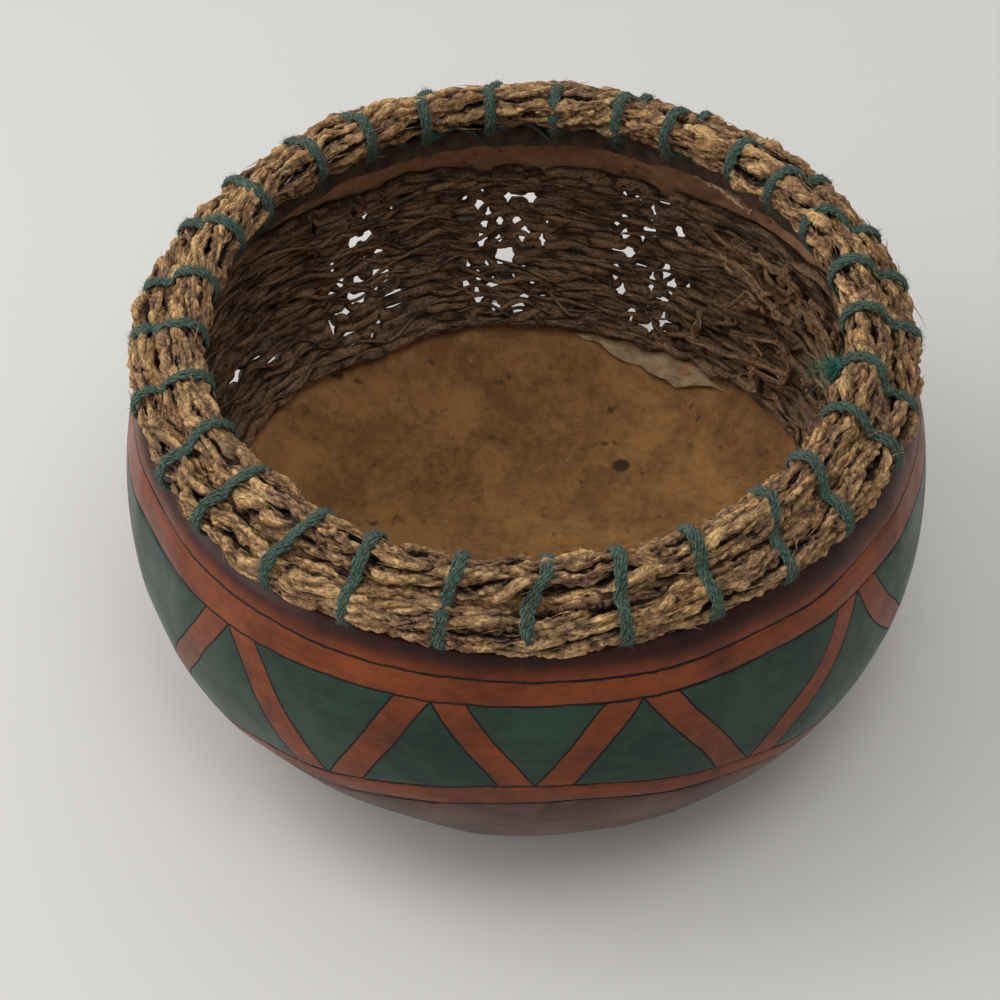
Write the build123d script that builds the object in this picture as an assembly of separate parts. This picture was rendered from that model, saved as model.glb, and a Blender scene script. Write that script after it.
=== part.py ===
from build123d import *
import math
import os

os.makedirs("parts", exist_ok=True)

# Driving sizes in millimetres and degrees

# Gourd shell, a body of revolution made of tangent arcs
BODY_RADIUS = 141.2
BELLY_HEIGHT = 76.0
SIDE_ARC = 155.0
FOOT_RADIUS = 68.0
DOME_ARC = 400.0
SHOULDER_ARC = 9.0
WALL = 6.5
LIP_INSET = 23.7

# Rim coils, each one core root with six roots laid round it; the inner coil lies on the outer one
RIM_HEIGHT = 140.0
COIL_OVER_LIP = 8.3
COIL_GAP = 0.34
COIL_STACK_ANGLE = 146.1
ROOT_RADIUS = 2.25
ROOT_GAP = 0.25
ROOTS_ROUND_CORE = 6
LAY_TURNS = 3
JOINT_GAP = 1.2
JOINT_FIRST = 45.0
JOINT_STAGGER = 137.0
CORE_JOINT = 20.0
LAY_STEPS = 24

# Whipped yarn
YARN_RADIUS = 1.3
YARN_GAP = 0.3
STITCHES = 29
FIRST_STITCH = -89.0
GROOVE_ARC = 3.2
HOLE_ANGLE = -50.0
HOLE_GAP = 0.35
HOLE_OVERRUN = 3.0
PASS_IN = 3.4
PASS_RISE = 6.7
RISE_ANGLE = 205.0
RISE_RUN = 5.0
TAIL_STITCH = 6
THREAD_LOOPS = (15, 14)
TAIL_DROP = 20.0
TAIL_OUT = 2.0
TAIL_SWING = 1.5
GAP_STEP = 1.5

# Windows at the back, hidden from outside in the picture
WINDOW_WIDTH = 36.0
WINDOW_HEIGHT = 68.0
WINDOW_CORNER = 12.0
WINDOW_MID_Z = 64.0
WINDOW_PITCH = 360.0 / 14.0
WINDOW_CENTRE = 92.5
WINDOWS = 5
CUT_MARGIN = 25.0

# Roots that line the back wall
LINING_RADIUS = 1.9
LINING_PITCH = 4.35
LINING_COURSES = 17
LINING_LOW_ANGLE = 38.0
LINING_GAP = 0.3
LINING_FROM = -4.0
LINING_TO = 178.0
LINING_RAGGED = 7.0

# Curly rootlets, laid in layers on the lining: layer, then azimuth and course number of each bend
ROOTLET_RADIUS = 1.4
LAYER_GAP = 0.6
ROOTLETS = {
    1: (0, [(50, 15.1), (40, 13.2), (45, 10.5), (33, 8.6), (37, 5.5)]),
    2: (0, [(21, 15.5), (28, 12.8), (18, 10.7), (25, 8.2), (15, 5.5)]),
    3: (1, [(1, 14.2), (14, 13.7), (26, 14.6), (38, 11.6)]),
    4: (2, [(-6, 12.3), (7, 10.2), (20, 9.8), (34, 12.6), (46, 8.6)]),
    5: (1, [(-3, 6.4), (9, 7.4), (22, 5.2), (35, 6.9), (47, 4.8)]),
    6: (0, [(9, 16.0), (4, 13.0), (11, 9.6), (3, 6.0)]),
}

# Loose twig and peeled skin
TWIG_RADIUS = 2.0
TWIG_FROM = 62.0
TWIG_TO = 47.0
TWIG_SHOULDER_GAP = 4.8
TWIG_LINING_GAP = 0.6
FLAP_THICK = 0.8
FLAP_GAP = 0.3
FLAP_ANGLES = (51.0, 41.0)
FLAP_FROM = 48.0
FLAP_TO = 80.0

# Sizes that follow from the ones above
lip_radius = BODY_RADIUS - LIP_INSET
side_mid = (BODY_RADIUS - SIDE_ARC, BELLY_HEIGHT)
coil_radius = 3 * ROOT_RADIUS + ROOT_GAP
lay_offset = 2 * ROOT_RADIUS + ROOT_GAP
wrap_radius = coil_radius + YARN_GAP + YARN_RADIUS
span = FOOT_RADIUS - side_mid[0]
CORNER_ARC = (SIDE_ARC ** 2 - span ** 2 - BELLY_HEIGHT ** 2) / (2 * (SIDE_ARC - BELLY_HEIGHT))
corner_mid = (FOOT_RADIUS, CORNER_ARC)
stack = math.radians(COIL_STACK_ANGLE)
stack_step = 2 * coil_radius + COIL_GAP
outer_mid = (lip_radius + COIL_OVER_LIP, RIM_HEIGHT)
inner_mid = (outer_mid[0] + stack_step * math.cos(stack), outer_mid[1] + stack_step * math.sin(stack))
dome_touch = math.asin(outer_mid[0] / (DOME_ARC + coil_radius + YARN_GAP))
dome_mid = (0.0, RIM_HEIGHT - (DOME_ARC + coil_radius + YARN_GAP) * math.cos(dome_touch))


def polar(r, az, z):
    """Point at radius r, azimuth az in degrees and height z."""
    a = math.radians(az)
    return Vector(r * math.cos(a), r * math.sin(a), z)


def radial(az):
    """Unit vector that points away from the axis."""
    return polar(1.0, az, 0.0)


def along(az):
    """Unit vector of growing azimuth."""
    return polar(1.0, az + 90.0, 0.0)


def meridian(dr, dz, az):
    """Unit direction in the upright plane of an azimuth."""
    return (radial(az) * dr + Vector(0, 0, dz)).normalized()


def on_circle(mid, radius, angle):
    """Point of a circle in the r, z plane, angle in radians."""
    return (mid[0] + radius * math.cos(angle), mid[1] + radius * math.sin(angle))


def heading(mid, point):
    """Angle of a point seen from a circle's middle."""
    return math.atan2(point[1] - mid[1], point[0] - mid[0])


def circle_meet(m1, r1, m2, r2):
    """Outer crossing of two circles in the r, z plane."""
    dx, dz = m2[0] - m1[0], m2[1] - m1[1]
    d = math.hypot(dx, dz)
    a = (r1 * r1 - r2 * r2 + d * d) / (2 * d)
    h = math.sqrt(r1 * r1 - a * a)
    bx, bz = m1[0] + a * dx / d, m1[1] + a * dz / d
    first = (bx - h * dz / d, bz + h * dx / d)
    second = (bx + h * dz / d, bz - h * dx / d)
    return first if first[0] > second[0] else second


def flat_arc(mid, radius, a0, a1):
    """Arc in the XZ plane from angle a0 to a1."""
    pts = [on_circle(mid, radius, a) for a in (a0, (a0 + a1) / 2, a1)]
    return Edge.make_three_point_arc(*[Vector(r, 0, z) for r, z in pts])


def flat_line(p, q):
    """Line in the XZ plane."""
    return Edge.make_line(Vector(p[0], 0, p[1]), Vector(q[0], 0, q[1]))


least_bend = [1e9]


def tangent_arc(p, t, q):
    """Arc that leaves p along t and ends at q, or a line where it is straight."""
    chord = q - p
    turn = t.cross(chord).length / chord.length
    if turn < 1e-6:
        return Edge.make_line(p, q)
    least_bend[0] = min(least_bend[0], chord.length / (2 * turn))
    return Edge.make_tangent_arc(p, t, q)


def biarc(p, tp, q, tq):
    """Two tangent arcs from p along tp to q along tq."""
    v = q - p
    t = tp + tq
    c = 2 * (1 - tp.dot(tq))
    vt = v.dot(t)
    if abs(c) < 1e-9:
        d = v.dot(v) / (2 * vt)
    else:
        d = (-vt + math.sqrt(vt * vt + c * v.dot(v))) / c
    a, b = p + tp * d, q - tq * d
    m = (a + b) * 0.5
    return [tangent_arc(p, tp, m), tangent_arc(m, (b - a).normalized(), q)]


def chain(points, tangents):
    """Biarcs through a row of points."""
    edges = []
    for k in range(len(points) - 1):
        edges += biarc(points[k], tangents[k], points[k + 1], tangents[k + 1])
    return edges


def tube(edges, radius):
    """Round bar along a path."""
    path = Wire(edges)
    disc = Face(Wire.make_circle(radius, Plane(origin=path @ 0, z_dir=path % 0)))
    return Solid.sweep(disc, path)


def ring_bar(r, z, radius, start, sweep_angle):
    """Round bar bent to part of a level ring."""
    disc = Face(Wire.make_circle(radius, Plane(origin=(r, 0, z), z_dir=(0, 1, 0))))
    return Solid.revolve(disc, sweep_angle, Axis.Z).rotate(Axis.Z, start)


def save(node, shape):
    """Write one node and say its volume."""
    export_step(shape, "parts/" + node + ".step")
    print(node, "volume", round(shape.volume, 1), "valid", shape.is_valid)


# Gourd shell
shoulder_mid = circle_meet(side_mid, SIDE_ARC - SHOULDER_ARC, dome_mid, DOME_ARC - SHOULDER_ARC)
corner_turn = heading(side_mid, corner_mid)
side_turn = heading(side_mid, shoulder_mid)
dome_turn = heading(dome_mid, shoulder_mid)
lip_turn = math.acos(lip_radius / DOME_ARC)
rings = []
for inset in (0.0, WALL):
    rings.append([
        flat_arc(corner_mid, CORNER_ARC - inset, -math.pi / 2, corner_turn),
        flat_arc(side_mid, SIDE_ARC - inset, corner_turn, side_turn),
        flat_arc(shoulder_mid, SHOULDER_ARC - inset, side_turn, dome_turn),
        flat_arc(dome_mid, DOME_ARC - inset, dome_turn, lip_turn),
    ])
lip_out = on_circle(dome_mid, DOME_ARC, lip_turn)
lip_in = on_circle(dome_mid, DOME_ARC - WALL, lip_turn)
section = Face(Wire(
    [flat_line((0, 0), (FOOT_RADIUS, 0))] + rings[0] + [flat_line(lip_out, lip_in)] + rings[1]
    + [flat_line((FOOT_RADIUS, WALL), (0, WALL)), flat_line((0, WALL), (0, 0))]
))
shell = Solid.revolve(section, 360, Axis.Z)
cutters = []
for k in range(WINDOWS):
    az = WINDOW_CENTRE + (k - (WINDOWS - 1) / 2) * WINDOW_PITCH
    start = BODY_RADIUS - WALL - CUT_MARGIN
    plane = Plane(origin=polar(start, az, WINDOW_MID_Z), x_dir=along(az), z_dir=radial(az))
    outline = plane * RectangleRounded(WINDOW_WIDTH, WINDOW_HEIGHT, WINDOW_CORNER)
    cutters.append(extrude(outline, WALL + 2 * CUT_MARGIN))

# Yarn route in one upright plane
hole_turn = math.radians(HOLE_ANGLE)
groove_mid = circle_meet(outer_mid, wrap_radius + GROOVE_ARC, inner_mid, wrap_radius + GROOVE_ARC)
to_groove_in = heading(inner_mid, groove_mid)
to_groove_out = heading(outer_mid, groove_mid)
hole_top = on_circle(outer_mid, wrap_radius, hole_turn)
hole_dir = (math.sin(hole_turn), -math.cos(hole_turn))
hole_run = 0.0
while True:
    r, z = hole_top[0] + hole_dir[0] * hole_run, hole_top[1] + hole_dir[1] * hole_run
    if math.hypot(r - dome_mid[0], z - dome_mid[1]) < DOME_ARC - WALL - YARN_RADIUS - YARN_GAP:
        break
    hole_run += 0.1
hole_end = (r, z)
rise_turn = math.radians(RISE_ANGLE)
rise_top = on_circle(inner_mid, wrap_radius, rise_turn)
rise_dir = (math.sin(rise_turn), -math.cos(rise_turn))
rise_low = (rise_top[0] - rise_dir[0] * RISE_RUN, rise_top[1] - rise_dir[1] * RISE_RUN)
for k in range(STITCHES):
    az = FIRST_STITCH + k * 360.0 / STITCHES
    axis = meridian(hole_dir[0], hole_dir[1], az)
    start = polar(hole_top[0], az, hole_top[1])
    length = hole_run + HOLE_OVERRUN
    cutters.append(Solid.make_cylinder(YARN_RADIUS + HOLE_GAP, length, Plane(origin=start, z_dir=axis)))
shell = shell.cut(*cutters)
save("gourd_shell", shell)


def wrap(mid, a0, a1, radius, az):
    """Arcs round a coil in the upright plane of an azimuth, from angle a0 to a1."""
    edges = []
    parts = max(1, math.ceil(abs(a1 - a0) / (math.pi / 2) - 1e-6))
    for k in range(parts):
        b0 = a0 + (a1 - a0) * k / parts
        b1 = a0 + (a1 - a0) * (k + 1) / parts
        pts = [on_circle(mid, radius, b) for b in (b0, (b0 + b1) / 2, b1)]
        edges.append(Edge.make_three_point_arc(*[polar(p[0], az, p[1]) for p in pts]))
    return edges


def stitch(az):
    """One stitch: up the inside, over both coils and down through its hole."""
    edges = [Edge.make_line(polar(rise_low[0], az, rise_low[1]), polar(rise_top[0], az, rise_top[1]))]
    edges += wrap(inner_mid, rise_turn, to_groove_in, wrap_radius, az)
    dip_from = to_groove_in + math.pi
    dip_to = to_groove_out + math.pi
    edges += wrap(groove_mid, dip_from, dip_to, GROOVE_ARC, az)
    edges += wrap(outer_mid, to_groove_out, hole_turn, wrap_radius, az)
    edges.append(Edge.make_line(polar(hole_top[0], az, hole_top[1]), polar(hole_end[0], az, hole_end[1])))
    return edges


def least_self_gap(path, radius, step):
    """Least clear distance of a tube to itself, on points along its path."""
    count = int(path.length / step)
    pts = [tuple(path @ (k / count)) for k in range(count + 1)]
    skip = int(8 * radius / step)
    best = 1e9
    for i in range(len(pts)):
        for j in range(i + skip, len(pts)):
            best = min(best, math.dist(pts[i], pts[j]))
    return best - 2 * radius


pitch = 360.0 / STITCHES
first = TAIL_STITCH
for number, loops in enumerate(THREAD_LOOPS, 1):
    route = []
    az = FIRST_STITCH + first * pitch
    if number == 1:
        tail = polar(rise_low[0] + TAIL_OUT, az - TAIL_SWING, rise_low[1] - TAIL_DROP)
        route += biarc(tail, Vector(0, 0, 1), polar(rise_low[0], az, rise_low[1]), meridian(*rise_dir, az))
    for k in range(loops):
        route += stitch(az)
        half = az + pitch / 2
        middle = polar(lip_in[0] - PASS_IN, half, lip_in[1] + PASS_RISE)
        route += biarc(polar(hole_end[0], az, hole_end[1]), meridian(*hole_dir, az), middle, along(half))
        if k < loops - 1:
            az += pitch
            route += biarc(middle, along(half), polar(rise_low[0], az, rise_low[1]), meridian(*rise_dir, az))
    first += loops
    yarn = tube(route, YARN_RADIUS)
    print("stitch thread", number, "least self gap", round(least_self_gap(Wire(route), YARN_RADIUS, GAP_STEP), 2))
    save("stitch_thread_%d" % number, yarn)
print("least bend radius of the yarn", round(least_bend[0], 2))

# Rim coils
for coil, (mid_r, mid_z) in (("inner", inner_mid), ("outer", outer_mid)):
    joint = math.degrees(JOINT_GAP / mid_r)
    save(coil + "_coil_core", ring_bar(mid_r, mid_z, ROOT_RADIUS, CORE_JOINT, 360.0 - joint))
    for k in range(ROOTS_ROUND_CORE):
        start = JOINT_FIRST + k * JOINT_STAGGER
        points, tangents = [], []
        for j in range(LAY_STEPS + 1):
            turn = (360.0 - joint) * j / LAY_STEPS
            psi = 2 * math.pi * k / ROOTS_ROUND_CORE + math.radians(LAY_TURNS * (start + turn))
            r = mid_r + lay_offset * math.cos(psi)
            az = start + turn
            points.append(polar(r, az, mid_z + lay_offset * math.sin(psi)))
            swing = LAY_TURNS * lay_offset
            t = along(az) * r + radial(az) * (-swing * math.sin(psi)) + Vector(0, 0, swing * math.cos(psi))
            tangents.append(t.normalized())
        save("%s_coil_strand_%d" % (coil, k + 1), tube(chain(points, tangents), ROOT_RADIUS))


# Lining roots, on one line of courses up the inner wall
course_inset = LINING_GAP + LINING_RADIUS
low_arc = CORNER_ARC - WALL - course_inset
high_arc = SIDE_ARC - WALL - course_inset
low_turn = math.radians(LINING_LOW_ANGLE)
low_length = low_arc * (low_turn + corner_turn)


def wall_spot(course, inset):
    """Radius, height and outward direction on the inner wall at a course number, moved in by an inset."""
    s = course * LINING_PITCH
    if s < low_length:
        mid, arc, turn = corner_mid, CORNER_ARC, -low_turn + s / low_arc
    else:
        mid, arc, turn = side_mid, SIDE_ARC, corner_turn + (s - low_length) / high_arc
    return on_circle(mid, arc - WALL - inset, turn), (math.cos(turn), math.sin(turn))


def course_at(z):
    """Course number at height z on the upper part of the wall."""
    turn = math.asin((z - side_mid[1]) / high_arc)
    return (low_length + (turn - corner_turn) * high_arc) / LINING_PITCH


def on_wall(spots, inset):
    """Points on the inner wall with tangents that lie in it, from pairs of azimuth and course number."""
    points, normals = [], []
    for az, course in spots:
        (r, z), out = wall_spot(course, inset)
        points.append(polar(r, az, z))
        normals.append(meridian(out[0], out[1], az))
    last = len(points) - 1
    tangents = []
    for j in range(last + 1):
        t = points[min(j + 1, last)] - points[max(j - 1, 0)]
        tangents.append((t - normals[j] * t.dot(normals[j])).normalized())
    return points, tangents


for k in range(LINING_COURSES):
    (r, z), out = wall_spot(k, course_inset)
    begin = LINING_FROM + LINING_RAGGED * math.sin(2.4 * k + 0.6)
    end = LINING_TO + LINING_RAGGED * math.sin(1.7 * k + 2.0)
    save("lining_root_%02d" % (k + 1), ring_bar(r, z, LINING_RADIUS, begin, end - begin))

# Curly rootlets
for number, (layer, spots) in ROOTLETS.items():
    depth = course_inset + LINING_RADIUS + LAYER_GAP + ROOTLET_RADIUS + layer * (2 * ROOTLET_RADIUS + LAYER_GAP)
    save("rootlet_%d" % number, tube(chain(*on_wall(spots, depth)), ROOTLET_RADIUS))

# Loose twig, between the top course and the shoulder
twig_high = course_at(on_circle(side_mid, SIDE_ARC, side_turn)[1] - TWIG_SHOULDER_GAP)
twig_low = LINING_COURSES - 1 + (LINING_RADIUS + TWIG_RADIUS + TWIG_LINING_GAP) / LINING_PITCH
twig_high = max(twig_high, twig_low)
twig = on_wall([(TWIG_FROM, twig_high), (TWIG_TO, twig_low)], TWIG_RADIUS + LINING_GAP)
save("loose_twig", tube(chain(*twig), TWIG_RADIUS))

# Peeled inner skin
low, high = [-math.radians(a) for a in FLAP_ANGLES]
under = CORNER_ARC - WALL - FLAP_GAP
over = under - FLAP_THICK
skin = Face(Wire([
    flat_arc(corner_mid, under, low, high),
    flat_line(on_circle(corner_mid, under, high), on_circle(corner_mid, over, high)),
    flat_arc(corner_mid, over, low, high),
    flat_line(on_circle(corner_mid, over, low), on_circle(corner_mid, under, low)),
]))
save("inner_skin_flap", Solid.revolve(skin, FLAP_TO - FLAP_FROM, Axis.Z).rotate(Axis.Z, FLAP_FROM))
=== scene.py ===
"""Dresses the carved gourd: dyed and burned shell, root rim, yarn, lining and loose roots.

All sizes are metres in the frame of the solids: +Z up, the camera on the -Y side and the cut windows on the
+Y side.
"""

from __future__ import annotations

import logging
import math
from dataclasses import dataclass
from enum import Enum

import bpy
import numpy as np
from mathutils import Matrix

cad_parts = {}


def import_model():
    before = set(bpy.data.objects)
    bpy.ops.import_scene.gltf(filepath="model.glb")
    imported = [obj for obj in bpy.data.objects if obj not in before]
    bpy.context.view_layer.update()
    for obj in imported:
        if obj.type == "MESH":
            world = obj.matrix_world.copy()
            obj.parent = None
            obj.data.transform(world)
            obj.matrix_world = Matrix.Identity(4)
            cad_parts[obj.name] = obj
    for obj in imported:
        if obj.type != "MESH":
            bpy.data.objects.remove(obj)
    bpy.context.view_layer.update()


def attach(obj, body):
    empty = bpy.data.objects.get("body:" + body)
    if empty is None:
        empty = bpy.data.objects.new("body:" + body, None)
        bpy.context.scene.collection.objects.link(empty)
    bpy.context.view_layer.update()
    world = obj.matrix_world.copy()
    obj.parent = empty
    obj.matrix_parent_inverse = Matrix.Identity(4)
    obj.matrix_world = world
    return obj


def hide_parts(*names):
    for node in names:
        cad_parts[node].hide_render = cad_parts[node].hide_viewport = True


LOG = logging.getLogger("gourd")
Array = np.ndarray
Pair = tuple[float, float]
Triple = tuple[float, float, float]
Colour = Triple
Piece = bpy.types.Object
Material = bpy.types.Material
Tree = bpy.types.NodeTree
Node = bpy.types.Node
Socket = bpy.types.NodeSocket
Value = float | Socket
TURN = 2.0 * math.pi
FRONT = math.radians(-90.0)


def srgb(red: int, green: int, blue: int) -> Colour:
    """Linear colour of an 8 bit screen colour.

    Args:
        red: red from 0 to 255.
        green: green from 0 to 255.
        blue: blue from 0 to 255.

    Returns:
        The linear colour.
    """
    parts = np.array((red, green, blue)) / 255.0
    linear = np.where(parts <= 0.04045, parts / 12.92, ((parts + 0.055) / 1.055) ** 2.4)
    return tuple(float(part) for part in linear)


@dataclass(frozen=True)
class Sizes:
    """Real sizes, the same values that the solids are built from."""

    body_radius: float = 0.1412
    belly_height: float = 0.076
    side_arc: float = 0.155
    foot_radius: float = 0.068
    dome_arc: float = 0.400
    shoulder_arc: float = 0.009
    wall: float = 0.0065
    lip_radius: float = 0.1175
    outer_coil: Pair = (0.1258, 0.1400)
    inner_coil: Pair = (0.1139, 0.1480)
    coil_radius: float = 0.0070
    lay_offset: float = 0.00475
    lay_turns: int = 3
    yarn_gap: float = 0.0003
    wrap_radius: float = 0.0077
    groove_arc: float = 0.0032
    stitches: int = 29
    first_stitch: float = math.radians(-89.0)
    hole_angle: float = math.radians(-50.0)
    rise_angle: float = math.radians(205.0)
    rise_run: float = 0.005
    hole_run: float = 0.0128
    yarn_pass: Pair = (0.1160, 0.1384)
    window_width: float = 0.036
    window_height: float = 0.068
    window_corner: float = 0.012
    window_mid: float = 0.064
    windows: int = 5
    window_pitch: float = TURN / 14
    window_centre: float = math.radians(92.5)
    zigzags: int = 9
    lining_radius: float = 0.0019
    lining_pitch: float = 0.00435
    lining_courses: int = 17
    lining_low: float = math.radians(38.0)
    lining_gap: float = 0.0003

    @property
    def pitch(self) -> float:
        """Angle from one stitch to the next."""
        return TURN / self.stitches


SIZES = Sizes()


def circle_meet(first: Pair, first_radius: float, second: Pair, second_radius: float) -> Pair:
    """Crossing of two circles in the r, z plane that lies further from the axis.

    Args:
        first: middle of one circle.
        first_radius: its radius.
        second: middle of the other circle.
        second_radius: its radius.

    Returns:
        The crossing's r and z.
    """
    step = np.subtract(second, first)
    gap = float(np.hypot(*step))
    along = (first_radius**2 - second_radius**2 + gap**2) / (2 * gap)
    side = math.sqrt(first_radius**2 - along**2)
    base = np.asarray(first) + along * step / gap
    across = np.array((-step[1], step[0])) * side / gap
    crossing = max(base + across, base - across, key=lambda spot: spot[0])
    return float(crossing[0]), float(crossing[1])


def heading(middle: Pair, spot: Pair) -> float:
    """Angle of a spot seen from a circle's middle."""
    return math.atan2(spot[1] - middle[1], spot[0] - middle[0])


def on_circle(middle: Pair, radius: Array | float, angle: Array | float) -> Array:
    """Points of a circle in the r, z plane, stacked on the last axis."""
    return np.stack([middle[0] + radius * np.cos(angle), middle[1] + radius * np.sin(angle)], axis=-1)


def swing(spots: Array, azimuth: Array) -> Array:
    """Turns r, z spots to their azimuths.

    Args:
        spots: r and z on the last axis.
        azimuth: angle of each spot round the axis.

    Returns:
        x, y and z on the last axis.
    """
    radius, height = spots[..., 0], spots[..., 1] + 0 * azimuth
    return np.stack([radius * np.cos(azimuth), radius * np.sin(azimuth), height], axis=-1)


def direction(angle: Array) -> Array:
    """Unit r, z directions at angles, stacked on the last axis."""
    return np.stack([np.cos(angle), np.sin(angle)], axis=-1)


def distance_along(path: Array) -> Array:
    """Distance of each point of a path from its first point, measured along it."""
    return np.concatenate([[0.0], np.cumsum(np.linalg.norm(np.diff(path, axis=0), axis=1))])


def from_ends(along: Array) -> Array:
    """Distance of each place on a line to the nearer end."""
    return np.minimum(along - along[0], along[-1] - along)


def waves(place: Array, rng: np.random.Generator, count: int, low: float, high: float) -> Array:
    """Smooth noise of unit size: a sum of sines.

    Args:
        place: where the noise is read.
        rng: source of the sines' rates and phases.
        count: number of sines.
        low: lowest rate, in cycles per unit of place.
        high: highest rate.

    Returns:
        The noise, in the shape of place.
    """
    rate = rng.uniform(low, high, count)
    phase = rng.uniform(0, TURN, count)
    total = np.sin(TURN * place[..., None] * rate + phase).sum(axis=-1)
    return total / math.sqrt(count / 2)


def round_waves(azimuth: Array, rng: np.random.Generator, top: int) -> Array:
    """Smooth noise of unit size that closes on itself: a sum of whole harmonics.

    Args:
        azimuth: where the noise is read.
        rng: source of the phases.
        top: highest harmonic.

    Returns:
        The noise, in the shape of azimuth.
    """
    order = np.arange(1, top + 1)
    phase = rng.uniform(0, TURN, top)
    return np.sin(azimuth[..., None] * order + phase).sum(axis=-1) / math.sqrt(top / 2)


def cloud(rng: np.random.Generator, rows: int, columns: int, long: float, broad: float) -> Array:
    """Smooth random field of unit size on a grid that closes both ways: white noise blurred by a bell curve.

    Args:
        rng: source of the noise.
        rows: points along.
        columns: points round.
        long: width of the blur, in rows.
        broad: width of the blur, in columns.

    Returns:
        The field, rows first.
    """
    rate = np.fft.fftfreq(rows)[:, None] * long, np.fft.fftfreq(columns)[None, :] * broad
    blur = np.exp(-0.5 * TURN**2 * (rate[0] ** 2 + rate[1] ** 2))
    field = np.fft.ifft2(np.fft.fft2(rng.normal(0, 1, (rows, columns))) * blur).real
    return field / field.std()


def stitch_azimuths() -> Array:
    """Places of the stitches: an even pitch with a slow drift and a small unevenness, as sewn by hand.

    Returns:
        Azimuth of each stitch.
    """
    number = np.arange(SIZES.stitches)
    even = SIZES.first_stitch + number * SIZES.pitch
    drift = -0.028 * (1 + np.cos(even - math.radians(145.0)))
    return even + drift + 0.014 * np.sin(2.7 * number + 0.6)


def unit(vectors: Array) -> Array:
    """Vectors of length 1 in the same directions."""
    return vectors / np.maximum(np.linalg.norm(vectors, axis=-1, keepdims=True), 1e-12)


class WallProfile:
    """Half outline of the shell: corner, side, shoulder and dome arcs that run into each other."""

    def __init__(self, sizes: Sizes) -> None:
        """Works out the middles and turns of the four arcs.

        Args:
            sizes: sizes of the shell and its rim.
        """
        self.sizes = sizes
        self.side_mid = (sizes.body_radius - sizes.side_arc, sizes.belly_height)
        span = sizes.foot_radius - self.side_mid[0]
        drop = 2 * (sizes.side_arc - sizes.belly_height)
        self.corner_arc = (sizes.side_arc**2 - span**2 - sizes.belly_height**2) / drop
        self.corner_mid = (sizes.foot_radius, self.corner_arc)
        reach = sizes.dome_arc + sizes.coil_radius + sizes.yarn_gap
        lean = math.asin(sizes.outer_coil[0] / reach)
        self.dome_mid = (0.0, sizes.outer_coil[1] - reach * math.cos(lean))
        side_reach = sizes.side_arc - sizes.shoulder_arc
        dome_reach = sizes.dome_arc - sizes.shoulder_arc
        self.shoulder_mid = circle_meet(self.side_mid, side_reach, self.dome_mid, dome_reach)
        self.corner_turn = heading(self.side_mid, self.corner_mid)
        self.side_turn = heading(self.side_mid, self.shoulder_mid)
        self.dome_turn = heading(self.dome_mid, self.shoulder_mid)
        self.lip_turn = math.acos(sizes.lip_radius / sizes.dome_arc)
        arcs = (
            (self.corner_mid, self.corner_arc, -math.pi / 2, self.corner_turn),
            (self.side_mid, sizes.side_arc, self.corner_turn, self.side_turn),
            (self.shoulder_mid, sizes.shoulder_arc, self.side_turn, self.dome_turn),
            (self.dome_mid, sizes.dome_arc, self.dome_turn, self.lip_turn),
        )
        angles = [np.linspace(start, end, 160) for _, _, start, end in arcs]
        spots = np.concatenate([on_circle(mid, arc, angle) for (mid, arc, _, _), angle in zip(arcs, angles)])
        steps = np.hypot(*np.diff(spots, axis=0).T)
        self.runs = np.concatenate([[0.0], np.cumsum(steps)])
        self.spots = spots
        self.turns = np.concatenate(angles)
        self.length = float(self.runs[-1])

    def at(self, run: Array, inset: Array | float = 0.0) -> Array:
        """Spot at a run up the outline from the foot's edge, moved in along the normal.

        Args:
            run: distance along the outer outline.
            inset: distance inwards from the outer outline.

        Returns:
            r and z on the last axis.
        """
        turn = np.interp(run, self.runs, self.turns)
        radius = np.interp(run, self.runs, self.spots[:, 0]) - inset * np.cos(turn)
        height = np.interp(run, self.runs, self.spots[:, 1]) - inset * np.sin(turn)
        return np.stack([radius, height], axis=-1)

    def run_at(self, height: Array) -> Array:
        """Run at which the outer outline reaches a height."""
        return np.interp(height, self.spots[:, 1], self.runs)

    def course(self, number: Array, inset: Array | float) -> tuple[Array, Array]:
        """Spot on the inner wall at a course number of the lining, and the outward direction there.

        Args:
            number: course number, with parts of a course allowed.
            inset: distance inwards from the inner wall.

        Returns:
            r, z spots and r, z directions, both on the last axis.
        """
        sizes = self.sizes
        first_inset = sizes.wall + sizes.lining_gap + sizes.lining_radius
        low_arc = self.corner_arc - first_inset
        low_length = low_arc * (sizes.lining_low + self.corner_turn)
        run = number * sizes.lining_pitch
        low_turn = -sizes.lining_low + run / low_arc
        high_turn = self.corner_turn + (run - low_length) / (sizes.side_arc - first_inset)
        low = on_circle(self.corner_mid, self.corner_arc - sizes.wall - inset, low_turn)
        high = on_circle(self.side_mid, sizes.side_arc - sizes.wall - inset, high_turn)
        turn = np.where(run < low_length, low_turn, high_turn)
        spot = np.where((run < low_length)[..., None], low, high)
        return spot, direction(turn)


PROFILE = WallProfile(SIZES)


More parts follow.
